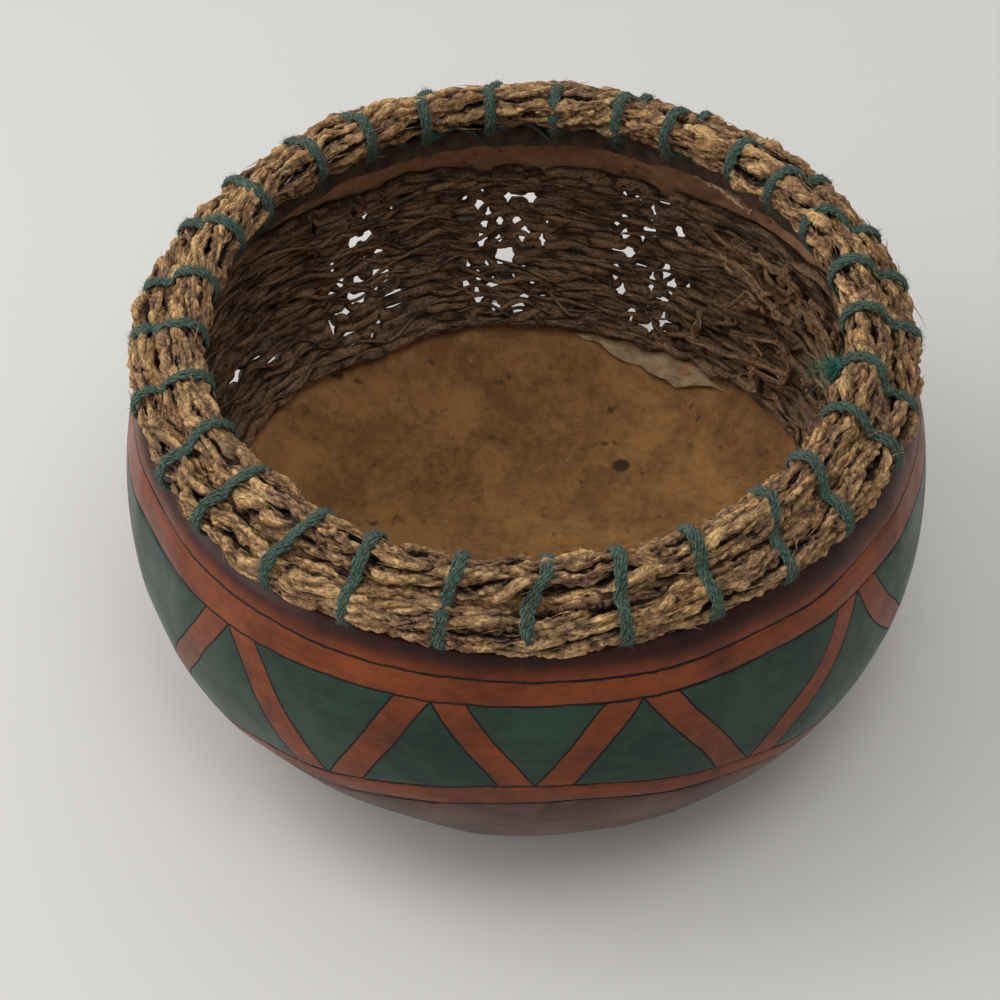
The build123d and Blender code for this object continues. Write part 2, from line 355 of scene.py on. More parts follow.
class MeshBuilder:
    """Collects whole-array surfaces and puts them into one mesh object."""

    def __init__(self) -> None:
        """Starts with no surface."""
        self.count = 0
        self.verts: list[Array] = []
        self.faces: list[tuple[Array, int]] = []
        self.values: dict[str, list[Array]] = {"grain": [], "ridge": []}

    def add(self, verts: Array, faces: list[Array], slot: int = 0, grain: Array | None = None,
            ridge: Array | None = None) -> None:
        """Adds one surface.

        Args:
            verts: points, one row each.
            faces: index arrays of quads or triangles, counted from this surface's first point.
            slot: material slot of its faces.
            grain: lengthwise and crosswise place of each point, for a pattern that follows the piece.
            ridge: how proud each point stands, from 0 in a crevice to 1 on a ridge.
        """
        number = len(verts)
        self.verts.append(verts)
        self.faces += [(face + self.count, slot) for face in faces if len(face)]
        self.values["grain"].append(verts if grain is None else grain)
        self.values["ridge"].append(np.full(number, 0.5) if ridge is None else ridge)
        self.count += number

    def build(self, name: str, materials: list[Material]) -> Piece:
        """Makes the mesh object.

        Args:
            name: name of the piece.
            materials: its material slots in order.

        Returns:
            The new object, at the origin.
        """
        mesh = bpy.data.meshes.new(name)
        verts = np.concatenate(self.verts).astype(np.float32)
        corners = np.concatenate([face.ravel() for face, _ in self.faces]).astype(np.int32)
        sizes = np.concatenate([np.full(len(face), face.shape[1]) for face, _ in self.faces]).astype(np.int32)
        slots = np.concatenate([np.full(len(face), slot) for face, slot in self.faces]).astype(np.int32)
        mesh.vertices.add(len(verts))
        mesh.vertices.foreach_set("co", verts.ravel())
        mesh.loops.add(len(corners))
        mesh.loops.foreach_set("vertex_index", corners)
        mesh.polygons.add(len(sizes))
        mesh.polygons.foreach_set("loop_start", np.concatenate([[0], np.cumsum(sizes)[:-1]]).astype(np.int32))
        mesh.polygons.foreach_set("material_index", slots)
        mesh.update(calc_edges=True)
        mesh.polygons.foreach_set("use_smooth", np.ones(len(sizes), dtype=bool))
        grain = mesh.attributes.new("grain", "FLOAT_VECTOR", "POINT")
        grain.data.foreach_set("vector", np.concatenate(self.values["grain"]).astype(np.float32).ravel())
        ridge = mesh.attributes.new("ridge", "FLOAT", "POINT")
        ridge.data.foreach_set("value", np.concatenate(self.values["ridge"]).astype(np.float32))
        for material in materials:
            mesh.materials.append(material)
        piece = bpy.data.objects.new(name, mesh)
        bpy.context.scene.collection.objects.link(piece)
        return piece


def grid_quads(rows: int, columns: int, wrap: bool) -> Array:
    """Quads of a grid whose points are counted row by row.

    Args:
        rows: rows of points.
        columns: points in a row.
        wrap: true where the last column joins the first.

    Returns:
        Four point numbers for each quad.
    """
    row = np.arange(rows - 1)[:, None]
    column = np.arange(columns if wrap else columns - 1)[None, :]
    after = (column + 1) % columns
    low, high = row * columns, (row + 1) * columns
    corners = (low + column, low + after, high + after, high + column)
    return np.stack(corners, axis=-1).reshape(-1, 4)


def tube(builder: MeshBuilder, path: Array, reference: Array, radius: Array, slot: int = 0,
         ridge: Array | None = None) -> None:
    """Adds a closed tube: rings round a path, turned to a reference direction, with a fan at each end.

    Args:
        builder: mesh that takes the tube.
        path: points along the middle.
        reference: direction at each path point that the first point of its ring faces.
        radius: radius at each path point and each place round the ring.
        slot: material slot.
        ridge: how proud each point stands, in the shape of radius.
    """
    count, sides = radius.shape
    tangent = unit(np.gradient(path, axis=0))
    normal = unit(reference - (reference * tangent).sum(-1, keepdims=True) * tangent)
    binormal = np.cross(tangent, normal)
    angle = np.arange(sides) * TURN / sides
    ring = np.cos(angle)[None, :, None] * normal[:, None] + np.sin(angle)[None, :, None] * binormal[:, None]
    points = path[:, None] + radius[..., None] * ring
    along = distance_along(path)
    mean = radius.mean(axis=1)
    grain = np.stack(
        [along[:, None] + 0 * radius, mean[:, None] * np.cos(angle), mean[:, None] * np.sin(angle)], axis=-1
    )
    ends = np.stack([path[0] - 0.3 * mean[0] * tangent[0], path[-1] + 0.3 * mean[-1] * tangent[-1]])
    first = np.arange(sides)
    after = (first + 1) % sides
    last = (count - 1) * sides
    start_fan = np.stack([np.full(sides, count * sides), after, first], axis=-1)
    end_fan = np.stack([np.full(sides, count * sides + 1), last + first, last + after], axis=-1)
    proud = np.full(radius.shape, 0.5) if ridge is None else ridge
    builder.add(
        np.concatenate([points.reshape(-1, 3), ends]),
        [grid_quads(count, sides, True), start_fan, end_fan],
        slot,
        np.concatenate([grain.reshape(-1, 3), [[0, 0, 0], [along[-1], 0, 0]]]),
        np.concatenate([proud.ravel(), [0.3, 0.3]]),
    )


def hairs(builder: MeshBuilder, root: Array, aim: Array, bend: Array, length: Array, thick: Array,
          ridge: float = 0.5, slot: int = 0) -> None:
    """Adds thin tapering three-sided hairs: each follows root + aim t + bend t squared up to its length.

    Args:
        builder: mesh that takes the hairs.
        root: start of each hair.
        aim: unit direction in which each hair starts.
        bend: sideways curve of each hair, per unit of length squared.
        length: length of each hair.
        thick: radius of each hair at its root.
        ridge: how proud the hairs count, which sets their tone.
        slot: material slot.
    """
    rings, sides = 5, 3
    step = np.linspace(0.0, 1.0, rings)
    place = length[:, None] * step
    path = root[:, None] + aim[:, None] * place[..., None] + bend[:, None] * (place**2)[..., None]
    side = unit(np.cross(aim, unit(bend + np.array((1e-6, 2e-6, 3e-6)))))
    other = np.cross(aim, side)
    angle = np.arange(sides) * TURN / sides
    ring = side[:, None] * np.cos(angle)[None, :, None] + other[:, None] * np.sin(angle)[None, :, None]
    taper = thick[:, None] * (1.0 - 0.8 * step)
    points = path[:, :, None] + taper[:, :, None, None] * ring[:, None]
    number = len(root)
    block = np.arange(number)[:, None, None] * rings * sides
    quads = (grid_quads(rings, sides, True)[None] + block).reshape(-1, 4)
    low = np.array([[0, 2, 1]])[None] + block
    high = np.array([[0, 1, 2]])[None] + block + (rings - 1) * sides
    grain = np.broadcast_to(np.stack([place, 0 * place, 0 * place], axis=-1)[:, :, None], points.shape)
    faces = [quads, low.reshape(-1, 3), high.reshape(-1, 3)]
    tone = np.full(number * rings * sides, ridge)
    builder.add(points.reshape(-1, 3), faces, slot, grain.reshape(-1, 3), tone)


def cubic_shares(t: Array) -> tuple[Array, Array, Array, Array]:
    """Shares of the first value, first slope, last value and last slope in a cubic that joins them."""
    return 2 * t**3 - 3 * t**2 + 1, t**3 - 2 * t**2 + t, -2 * t**3 + 3 * t**2, t**3 - t**2


def smooth_line(knots: Array, count: int) -> Array:
    """Smooth line through knots: a cubic between each pair whose slopes come from the knots beside it.

    Args:
        knots: values to pass through, one row each.
        count: number of points wanted.

    Returns:
        Points spread evenly over the knots.
    """
    knots = np.asarray(knots, dtype=float)
    slope = np.gradient(knots, axis=0)
    place = np.linspace(0.0, len(knots) - 1.0, count)
    index = np.minimum(place.astype(int), len(knots) - 2)
    shares = cubic_shares((place - index)[:, None])
    start = shares[0] * knots[index] + shares[1] * slope[index]
    return start + shares[2] * knots[index + 1] + shares[3] * slope[index + 1]


def finish_piece(piece: Piece, nodes: list[str]) -> None:
    """Rides a piece on the body and the nodes that it stands for, and logs it.

    Args:
        piece: the built piece.
        nodes: nodes of the solids that it stands for.
    """
    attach(piece, "root")
    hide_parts(*nodes)
    LOG.info("%s: %d faces, stands for %s", piece.name, len(piece.data.polygons), ", ".join(nodes))


class Blend(Enum):
    """Ways to lay one colour on another."""

    MIX = "MIX"
    MULTIPLY = "MULTIPLY"


class NodeSheet:
    """Short calls that add shader nodes to one tree and link them."""

    def __init__(self, tree: Tree) -> None:
        """Takes the tree to draw in."""
        self.tree = tree

    def add(self, kind: str, **settings: object) -> Node:
        """Adds a node.

        Args:
            kind: type of the node, without its prefix.
            settings: plain settings by name.

        Returns:
            The new node.
        """
        node = self.tree.nodes.new("ShaderNode" + kind)
        for key, value in settings.items():
            setattr(node, key, value)
        return node

    def feed(self, socket: Socket, value: object) -> None:
        """Links a socket to a value, or sets the value on it.

        Args:
            socket: input that takes it.
            value: an output to link, or a number, colour or vector.
        """
        if isinstance(value, Socket):
            self.tree.links.new(value, socket)
        elif isinstance(value, tuple) and socket.type == "RGBA" and len(value) == 3:
            socket.default_value = (*value, 1.0)
        else:
            socket.default_value = value

    def math(self, operation: str, first: Value, second: Value = 0.0, third: Value = 0.0) -> Socket:
        """One sum on values.

        Args:
            operation: name of the sum.
            first: first value.
            second: second value.
            third: third value.

        Returns:
            The result.
        """
        node = self.add("Math", operation=operation)
        for socket, value in zip(node.inputs, (first, second, third)):
            self.feed(socket, value)
        return node.outputs[0]

    def weigh(self, *parts: tuple[Socket, float], shift: float = 0.0) -> Socket:
        """Sum of values times their weights.

        Args:
            parts: each value with its weight.
            shift: number added to the sum.

        Returns:
            The sum.
        """
        total: Value = shift
        for value, weight in parts:
            total = self.math("MULTIPLY_ADD", value, weight, total)
        return total

    def place(self) -> Socket:
        """Place in the frame or, in a sky, the direction that is looked in."""
        return self.add("TexCoord").outputs["Object"]

    def scale(self, vector: Socket, factors: Triple) -> Socket:
        """A vector times a factor along each axis.

        Args:
            vector: the vector.
            factors: factor along x, y and z.

        Returns:
            The scaled vector.
        """
        node = self.add("VectorMath", operation="MULTIPLY")
        self.feed(node.inputs[0], vector)
        node.inputs[1].default_value = factors
        return node.outputs[0]

    def mix(self, factor: Value, first: object, second: object, blend: Blend = Blend.MIX) -> Socket:
        """Two colours mixed.

        Args:
            factor: share of the second colour.
            first: first colour.
            second: second colour.
            blend: how the second is laid on the first.

        Returns:
            The mixed colour.
        """
        node = self.add("Mix", data_type="RGBA", blend_type=blend.value)
        for socket, value in ((node.inputs[0], factor), (node.inputs[6], first), (node.inputs[7], second)):
            self.feed(socket, value)
        return node.outputs[2]

    def noise(self, vector: Socket, scale: float, detail: float = 4.0, rough: float = 0.55,
              warp: float = 0.0) -> Socket:
        """Cloudy noise from 0 to 1.

        Args:
            vector: where the noise is read.
            scale: its fineness.
            detail: number of finer layers.
            rough: strength of the finer layers.
            warp: how far it is distorted.

        Returns:
            The noise.
        """
        node = self.add("TexNoise", noise_dimensions="3D")
        self.feed(node.inputs["Vector"], vector)
        for key, value in (("Scale", scale), ("Detail", detail), ("Roughness", rough), ("Distortion", warp)):
            node.inputs[key].default_value = value
        return node.outputs[0]

    def streaks(self, vector: Socket, along: float, across: float, detail: float, rough: float,
                warp: float) -> Socket:
        """Cloudy noise drawn out along the first axis, with its own scale along and across."""
        return self.noise(self.scale(vector, (along, across, across)), 1.0, detail, rough, warp)

    def spots(self, vector: Socket, scale: float) -> Socket:
        """Distance to the nearest of scattered points.

        Args:
            vector: where it is read.
            scale: how densely the points are scattered.

        Returns:
            The distance.
        """
        node = self.add("TexVoronoi")
        self.feed(node.inputs["Vector"], vector)
        node.inputs["Scale"].default_value = scale
        return node.outputs["Distance"]

    def span(self, value: Value, low: Value, high: Value, first: float = 0.0, last: float = 1.0) -> Socket:
        """A smooth step.

        Args:
            value: value that drives the step.
            low: value at which it starts.
            high: value at which it ends.
            first: result at the start.
            last: result at the end.

        Returns:
            The result between first and last.
        """
        node = self.add("MapRange", interpolation_type="SMOOTHSTEP")
        for socket, item in zip(node.inputs, (value, low, high, first, last)):
            self.feed(socket, item)
        return node.outputs[0]

    def attribute(self, name: str, vector: bool = False) -> Socket:
        """A value, or a vector, kept on the mesh's points."""
        node = self.add("Attribute", attribute_name=name)
        return node.outputs["Vector"] if vector else node.outputs["Fac"]

    def bump(self, height: Socket, strength: float, distance: float) -> Socket:
        """Normal tilted by a height.

        Args:
            height: the height.
            strength: share of the tilt that is used.
            distance: metres for a height of 1.

        Returns:
            The normal.
        """
        node = self.add("Bump")
        node.inputs["Strength"].default_value = strength
        node.inputs["Distance"].default_value = distance
        self.feed(node.inputs["Height"], height)
        return node.outputs["Normal"]


def new_group(name: str, inputs: list[tuple[str, str]], outputs: list[tuple[str, str]]) -> tuple[
        Tree, NodeSheet, Node, Node]:
    """Starts a shader node group.

    Args:
        name: name of the group.
        inputs: name and socket type of each input.
        outputs: name and socket type of each output.

    Returns:
        The tree, a sheet to draw on, its input node and its output node.
    """
    tree = bpy.data.node_groups.new(name, "ShaderNodeTree")
    for side, sockets in (("INPUT", inputs), ("OUTPUT", outputs)):
        for label, kind in sockets:
            tree.interface.new_socket(name=label, in_out=side, socket_type="NodeSocket" + kind)
    entry = tree.nodes.new("NodeGroupInput")
    leave = tree.nodes.new("NodeGroupOutput")
    return tree, NodeSheet(tree), entry, leave


def root_grain_group() -> Tree:
    """Group for roots and twigs: lengthwise fibres, with painted shade in the crevices and painted highlights
    on the proud bark, partly its own paler fibres.

    Returns:
        The node group, with Color, Height and Roughness outputs.
    """
    colours = [("Dark", "Color"), ("Middle", "Color"), ("Flush", "Color"), ("Light", "Color")]
    tree, sheet, entry, leave = new_group(
        "root_grain",
        [("Grain", "Vector"), ("Ridge", "Float"), *colours],
        [("Color", "Color"), ("Height", "Float"), ("Roughness", "Float")],
    )
    grain = entry.outputs["Grain"]
    fibre = sheet.streaks(grain, 170.0, 1050.0, 5.0, 0.7, 0.7)
    crumb = sheet.noise(grain, 680.0, 5.0, 0.75, 0.6)
    patch = sheet.streaks(grain, 60.0, 150.0, 4.0, 0.6, 0.6)
    hue = sheet.streaks(grain, 34.0, 90.0, 3.0, 0.6, 0.4)
    # Painted shade and highlight: Ridge, kept on the mesh from its shape, darkens crevices and root sides and
    # lightens proud bark.
    proud = sheet.weigh((entry.outputs["Ridge"], 0.85), (fibre, 0.9), (crumb, 0.8), shift=-0.85)
    middle = sheet.mix(sheet.span(hue, 0.4, 0.6), entry.outputs["Middle"], entry.outputs["Flush"])
    colour = sheet.mix(sheet.span(proud, 0.02, 0.34), entry.outputs["Dark"], middle)
    # Painted highlight, partly the bark's own paler fibres: the Light colour laid in patches on proud bark.
    lit = sheet.math("MULTIPLY", sheet.span(proud, 0.30, 0.90), sheet.span(patch, 0.36, 0.64, 0.15, 1.0))
    colour = sheet.mix(lit, colour, entry.outputs["Light"])
    speck = sheet.streaks(grain, 620.0, 1600.0, 3.0, 0.7, 0.4)
    colour = sheet.mix(1.0, colour, sheet.span(speck, 0.34, 0.66, 0.45, 1.5), Blend.MULTIPLY)
    sheet.feed(leave.inputs["Color"], colour)
    sheet.feed(leave.inputs["Height"], sheet.math("ADD", fibre, crumb))
    sheet.feed(leave.inputs["Roughness"], sheet.span(patch, 0.2, 0.8, 0.92, 0.7))
    return tree


def dye_group() -> Tree:
    """Group for dyed shell: a blotchy wash between a deep and a bright colour, with darker pores.

    Returns:
        The node group, with a Color output.
    """
    tree, sheet, entry, leave = new_group(
        "dye_wash",
        [("Place", "Vector"), ("Deep", "Color"), ("Bright", "Color")],
        [("Color", "Color")],
    )
    place = entry.outputs["Place"]
    wide = sheet.noise(place, 26.0, 5.0, 0.6, 0.8)
    fine = sheet.noise(place, 190.0, 4.0, 0.6, 0.3)
    streak = sheet.noise(sheet.scale(place, (60.0, 60.0, 260.0)), 1.0, 4.0, 0.6, 0.6)
    blot = sheet.weigh((wide, 0.55), (fine, 0.2), (streak, 0.25))
    colour = sheet.mix(sheet.span(blot, 0.34, 0.66), entry.outputs["Deep"], entry.outputs["Bright"])
    pore = sheet.span(sheet.spots(place, 420.0), 0.16, 0.05)
    colour = sheet.mix(sheet.math("MULTIPLY", pore, 0.5), colour, entry.outputs["Deep"])
    sheet.feed(leave.inputs["Color"], colour)
    return tree


def new_material(name: str) -> tuple[Material, NodeSheet, Node]:
    """Starts a material.

    Args:
        name: name of the finish.

    Returns:
        The material, a sheet to draw on and its Principled shader.
    """
    material = bpy.data.materials.new(name)
    material.use_nodes = True
    sheet = NodeSheet(material.node_tree)
    shader = next(node for node in material.node_tree.nodes if node.type == "BSDF_PRINCIPLED")
    return material, sheet, shader


@dataclass(frozen=True)
class RootFinish:
    """Bark or bare wood of a root."""

    name: str
    dark: Colour
    middle: Colour
    flush: Colour
    light: Colour
    relief: float

    def material(self, grain: Tree) -> Material:
        """Material with the shared root grain.

        Args:
            grain: the root grain group.

        Returns:
            The material.
        """
        material, sheet, shader = new_material(self.name)
        group = sheet.add("Group", node_tree=grain)
        for label, value in (
            ("Grain", sheet.attribute("grain", True)), ("Ridge", sheet.attribute("ridge")),
            ("Dark", self.dark), ("Middle", self.middle), ("Flush", self.flush), ("Light", self.light),
        ):
            sheet.feed(group.inputs[label], value)
        sheet.feed(shader.inputs["Base Color"], group.outputs["Color"])
        sheet.feed(shader.inputs["Roughness"], group.outputs["Roughness"])
        shader.inputs["Specular IOR Level"].default_value = 0.2
        sheet.feed(shader.inputs["Normal"], sheet.bump(group.outputs["Height"], 1.0, self.relief))
        return material


@dataclass(frozen=True)
class YarnFinish:
    """Fuzzy spun yarn, with painted shade between its plies."""

    name: str = "green_yarn"
    deep: Colour = srgb(12, 30, 24)
    bright: Colour = srgb(82, 117, 97)

    def material(self) -> Material:
        """Material with fine fibres and painted shade between the plies.

        Returns:
            The material.
        """
        material, sheet, shader = new_material(self.name)
        grain = sheet.attribute("grain", True)
        fibre = sheet.noise(sheet.place(), 1300.0, 4.0, 0.8)
        patch = sheet.noise(grain, 160.0, 2.0)
        # Painted shade: the ridge value is low between the plies and darkens the yarn there.
        tone = sheet.weigh((sheet.attribute("ridge"), 0.4), (fibre, 1.4), (patch, 0.4), shift=-0.2)
        colour = sheet.mix(sheet.span(tone, 0.72, 1.2), self.deep, self.bright)
        sheet.feed(shader.inputs["Base Color"], colour)
        shader.inputs["Roughness"].default_value = 0.9
        shader.inputs["Sheen Weight"].default_value = 0.12
        shader.inputs["Sheen Roughness"].default_value = 0.5
        sheet.feed(shader.inputs["Normal"], sheet.bump(fibre, 0.9, 0.0012))
        return material


@dataclass(frozen=True)
class ShellFinish:
    """Dyed, burned and varnished outside of the shell, with painted shade darkening the collar under the rim.
    """

    name: str = "dyed_shell"
    brown: tuple[Colour, Colour] = (srgb(76, 29, 8), srgb(126, 59, 21))
    green: tuple[Colour, Colour] = (srgb(15, 36, 28), srgb(38, 63, 49))
    collar: tuple[Colour, Colour] = (srgb(30, 9, 5), srgb(60, 23, 13))
    base: tuple[Colour, Colour] = (srgb(52, 34, 28), srgb(98, 66, 54))
    burned: Colour = srgb(14, 9, 7)
    half_line: float = 0.00042
    stripe: float = 0.0856
    repeat_reach: float = 0.1345
    squeeze: Triple = (0.169, 0.221, -0.130)
    wobble: float = 0.0032
    shake: float = 0.0011
    slip: float = 0.10
    soft_edge: float = 0.0002
    collar_shade_fade: Pair = (0.0005, 0.0072)
    lag: float = 0.09
    lag_at: float = math.radians(46.0)
    lag_width: float = math.radians(9.0)

    def material(self, dye: Tree, zigzags: int, first: float) -> Material:
        """Material that paints the bands and the zigzag from the line heights kept on the mesh.

        The zigzag counts azimuth in repeats and height from 0 at its lower line to 1 at its upper line. A
        triangle that hangs is where the distance to a whole repeat is under its half base times the height;
        one that stands is where the distance to a half repeat is under its half base times what is left of
        the height. The repeats crowd at the front: squeeze holds the sizes of the sine, double sine and one
        minus cosine that are added to an even count. One triangle on the right was drawn wide, so a bell of
        size lag is taken off the count there. A half base is half a repeat less stripe times the count's
        rate, which keeps the stripes equally wide. Noise of sizes wobble, shake and slip makes it hand drawn.

        Args:
            dye: the dye wash group.
            zigzags: repeats round the shell.
            first: azimuth of one hanging triangle's point.

        Returns:
            The material.
        """
        material, sheet, shader = new_material(self.name)
        place = sheet.place()
        run = sheet.weigh(
            (sheet.attribute("run"), 1.0),
            (sheet.noise(place, 34.0, 3.0), self.wobble),
            (sheet.noise(place, 210.0, 2.0), self.shake),
            shift=-0.5 * (self.wobble + self.shake),
        )
        lines = [sheet.attribute("line_%d" % number) for number in (1, 2, 3, 4)]
        repeat, rate = self.repeats(sheet, place, zigzags, first)
        half_base = sheet.weigh((rate, -self.stripe), shift=0.5)
        near = sheet.math("PINGPONG", repeat, 0.5)
        tall = sheet.math("SUBTRACT", lines[1], lines[2])
        rise = sheet.math("DIVIDE", sheet.math("SUBTRACT", run, lines[2]), tall)
        left = sheet.math("SUBTRACT", 1.0, rise)
        hang = sheet.math("SUBTRACT", sheet.math("MULTIPLY", rise, half_base), near)
        far = sheet.math("SUBTRACT", 0.5, near)
        stand = sheet.math("SUBTRACT", sheet.math("MULTIPLY", left, half_base), far)
        length = sheet.math("DIVIDE", self.repeat_reach, rate)
        inside = sheet.math("MULTIPLY", sheet.math("MAXIMUM", hang, stand), length)
        band = sheet.math("MULTIPLY", sheet.span(rise, -0.001, 0.001), sheet.span(left, -0.001, 0.001))
        soft = self.soft_edge
        leaf = sheet.math("MULTIPLY", sheet.span(inside, -soft, soft), band)
        edge = sheet.span(sheet.math("ABSOLUTE", inside), self.half_line * 1.3, self.half_line * 0.6)
        rings = sheet.math("MULTIPLY", edge, band)
        for line in lines:
            gap = sheet.math("ABSOLUTE", sheet.math("SUBTRACT", run, line))
            rings = sheet.math("MAXIMUM", rings, sheet.span(gap, self.half_line * 1.5, self.half_line * 0.7))
        washes = []
        for deep, bright in (self.brown, self.green, self.collar, self.base):
            group = sheet.add("Group", node_tree=dye)
            for label, value in (("Place", place), ("Deep", deep), ("Bright", bright)):
                sheet.feed(group.inputs[label], value)
            washes.append(group.outputs["Color"])
        brown, green, collar, base = washes
        colour = sheet.mix(leaf, brown, green)
        # Collar: the wash darkens from line 1 up to the rim, partly the collar's own dark dye and partly
        # painted shade under the overhanging coil.
        above = sheet.math("SUBTRACT", run, lines[0])
        collar = sheet.mix(sheet.span(above, *self.collar_shade_fade, 0.2, 1.0), brown, collar)
        colour = sheet.mix(sheet.span(above, -soft, soft), colour, collar)
        under = sheet.math("SUBTRACT", lines[3], run)
        colour = sheet.mix(sheet.span(under, -soft, soft), colour, base)
        patchy = sheet.span(sheet.noise(place, 300.0, 2.0), 0.2, 0.45, 0.75, 1.0)
        burn = sheet.math("MULTIPLY", rings, patchy)
        sheet.feed(shader.inputs["Base Color"], sheet.mix(burn, colour, self.burned))
        gloss = sheet.span(sheet.noise(place, 55.0, 4.0, 0.6), 0.3, 0.75, 0.34, 0.5)
        sheet.feed(shader.inputs["Roughness"], sheet.weigh((gloss, 1.0), (burn, 0.25)))
        shader.inputs["Specular IOR Level"].default_value = 0.16
        shader.inputs["Coat Weight"].default_value = 0.1
        shader.inputs["Coat Roughness"].default_value = 0.22
        height = sheet.weigh((sheet.noise(place, 150.0, 3.0), 0.25), (rings, -1.0))
        sheet.feed(shader.inputs["Normal"], sheet.bump(height, 0.6, 0.0005))
        return material

    def repeats(self, sheet: NodeSheet, place: Socket, zigzags: int, first: float) -> tuple[Socket, Socket]:
        """Count of repeats round the shell from the first point, and its rate per unit of azimuth.

        Args:
            sheet: sheet of the material.
            place: place in the frame.
            zigzags: repeats round the shell.
            first: azimuth of one hanging triangle's point.

        Returns:
            The count, with its hand drawn slip, and the rate.
        """
        split = sheet.add("SeparateXYZ")
        sheet.feed(split.inputs[0], place)
        azimuth = sheet.math("ARCTAN2", split.outputs["Y"], split.outputs["X"])
        aside = sheet.math("SUBTRACT", azimuth, first)
        double = sheet.math("MULTIPLY", aside, 2.0)
        sine, cosine = sheet.math("SINE", aside), sheet.math("COSINE", aside)
        off = sheet.weigh((aside, 1 / self.lag_width), shift=-self.lag_at / self.lag_width)
        bell = sheet.math("EXPONENT", sheet.math("MULTIPLY", off, sheet.math("MULTIPLY", off, -1.0)))
        once, twice, level = self.squeeze
        repeat = sheet.weigh(
            (aside, zigzags / TURN), (sine, once), (sheet.math("SINE", double), twice), (cosine, -level),
            (bell, -self.lag), (sheet.noise(place, 16.0, 2.0), self.slip), shift=level - 0.5 * self.slip,
        )
        rate = sheet.weigh(
            (cosine, once), (sheet.math("COSINE", double), 2 * twice), (sine, level),
            (sheet.math("MULTIPLY", bell, off), 2 * self.lag / self.lag_width), shift=zigzags / TURN,
        )
        return repeat, rate


@dataclass(frozen=True)
class PithFinish:
    """Scraped inside of the shell: tan floor with flecks, browner wall."""

    name: str = "scraped_pith"
    floor: tuple[Colour, Colour] = (srgb(120, 82, 42), srgb(168, 121, 68))
    wall: tuple[Colour, Colour] = (srgb(136, 99, 71), srgb(184, 138, 102))
    fleck: Colour = srgb(62, 42, 22)
    pale: Colour = srgb(176, 146, 104)
    knot_at: Pair = (0.039, 0.063)
    knot_radius: float = 0.0032

    def material(self) -> Material:
        """Material with flecks, pale scuffs and one dark knot on the floor.

        Returns:
            The material.
        """
        material, sheet, shader = new_material(self.name)
        place = sheet.place()
        split = sheet.add("SeparateXYZ")
        sheet.feed(split.inputs[0], place)
        fine = sheet.noise(place, 240.0, 5.0, 0.7, 0.4)
        tone = sheet.weigh((sheet.noise(place, 30.0, 5.0, 0.65, 0.8), 0.6), (fine, 0.4))
        floor, wall = (sheet.mix(sheet.span(tone, 0.36, 0.64), *pair) for pair in (self.floor, self.wall))
        colour = sheet.mix(sheet.span(split.outputs["Z"], 0.020, 0.055), floor, wall)
        fleck = sheet.math("MULTIPLY", sheet.span(sheet.noise(place, 210.0, 2.0, 0.5), 0.58, 0.74),
                           sheet.span(sheet.noise(place, 45.0, 2.0), 0.42, 0.62, 0.0, 0.8))
        colour = sheet.mix(fleck, colour, self.fleck)
        scuff = sheet.span(sheet.noise(place, 380.0, 2.0, 0.6), 0.68, 0.78)
        colour = sheet.mix(sheet.math("MULTIPLY", scuff, 0.6), colour, self.pale)
        aside = [sheet.math("POWER", sheet.math("SUBTRACT", split.outputs[axis], spot), 2.0)
                 for axis, spot in zip("XY", self.knot_at)]
        gap = sheet.math("SQRT", sheet.math("ADD", *aside))
        knot = sheet.span(gap, self.knot_radius * 1.3, self.knot_radius * 0.8)
        colour = sheet.mix(knot, colour, self.fleck)
        sheet.feed(shader.inputs["Base Color"], colour)
        shader.inputs["Roughness"].default_value = 0.85
        sheet.feed(shader.inputs["Normal"], sheet.bump(fine, 0.8, 0.0012))
        return material


@dataclass(frozen=True)
class PlainFinish:
    """Surface of one material with a cloudy change of tone, such as a sawn edge or peeled skin."""

    name: str
    deep: Colour
    bright: Colour
    scale: float
    roughness: float
    relief: float

    def material(self) -> Material:
        """Material with noise in tone and height.

        Returns:
            The material.
        """
        material, sheet, shader = new_material(self.name)
        tone = sheet.noise(sheet.place(), self.scale, 5.0, 0.65, 0.5)
        colour = sheet.mix(sheet.span(tone, 0.32, 0.68), self.deep, self.bright)
        sheet.feed(shader.inputs["Base Color"], colour)
        shader.inputs["Roughness"].default_value = self.roughness
        sheet.feed(shader.inputs["Normal"], sheet.bump(tone, 0.7, self.relief))
        return material


@dataclass(frozen=True)
class BurnedLine:
    """One burned line round the shell: its run at the back, its rise to the front and its lean to a side."""

    level: float
    rise: float
    width: float
    lean: float = 0.0

    def run(self, aside: Array) -> Array:
        """Run up the outline at angles in degrees aside of the front."""
        rise = self.rise * np.exp(-((aside / self.width) ** 2))
        return self.level + rise + self.lean * np.sin(np.radians(aside))


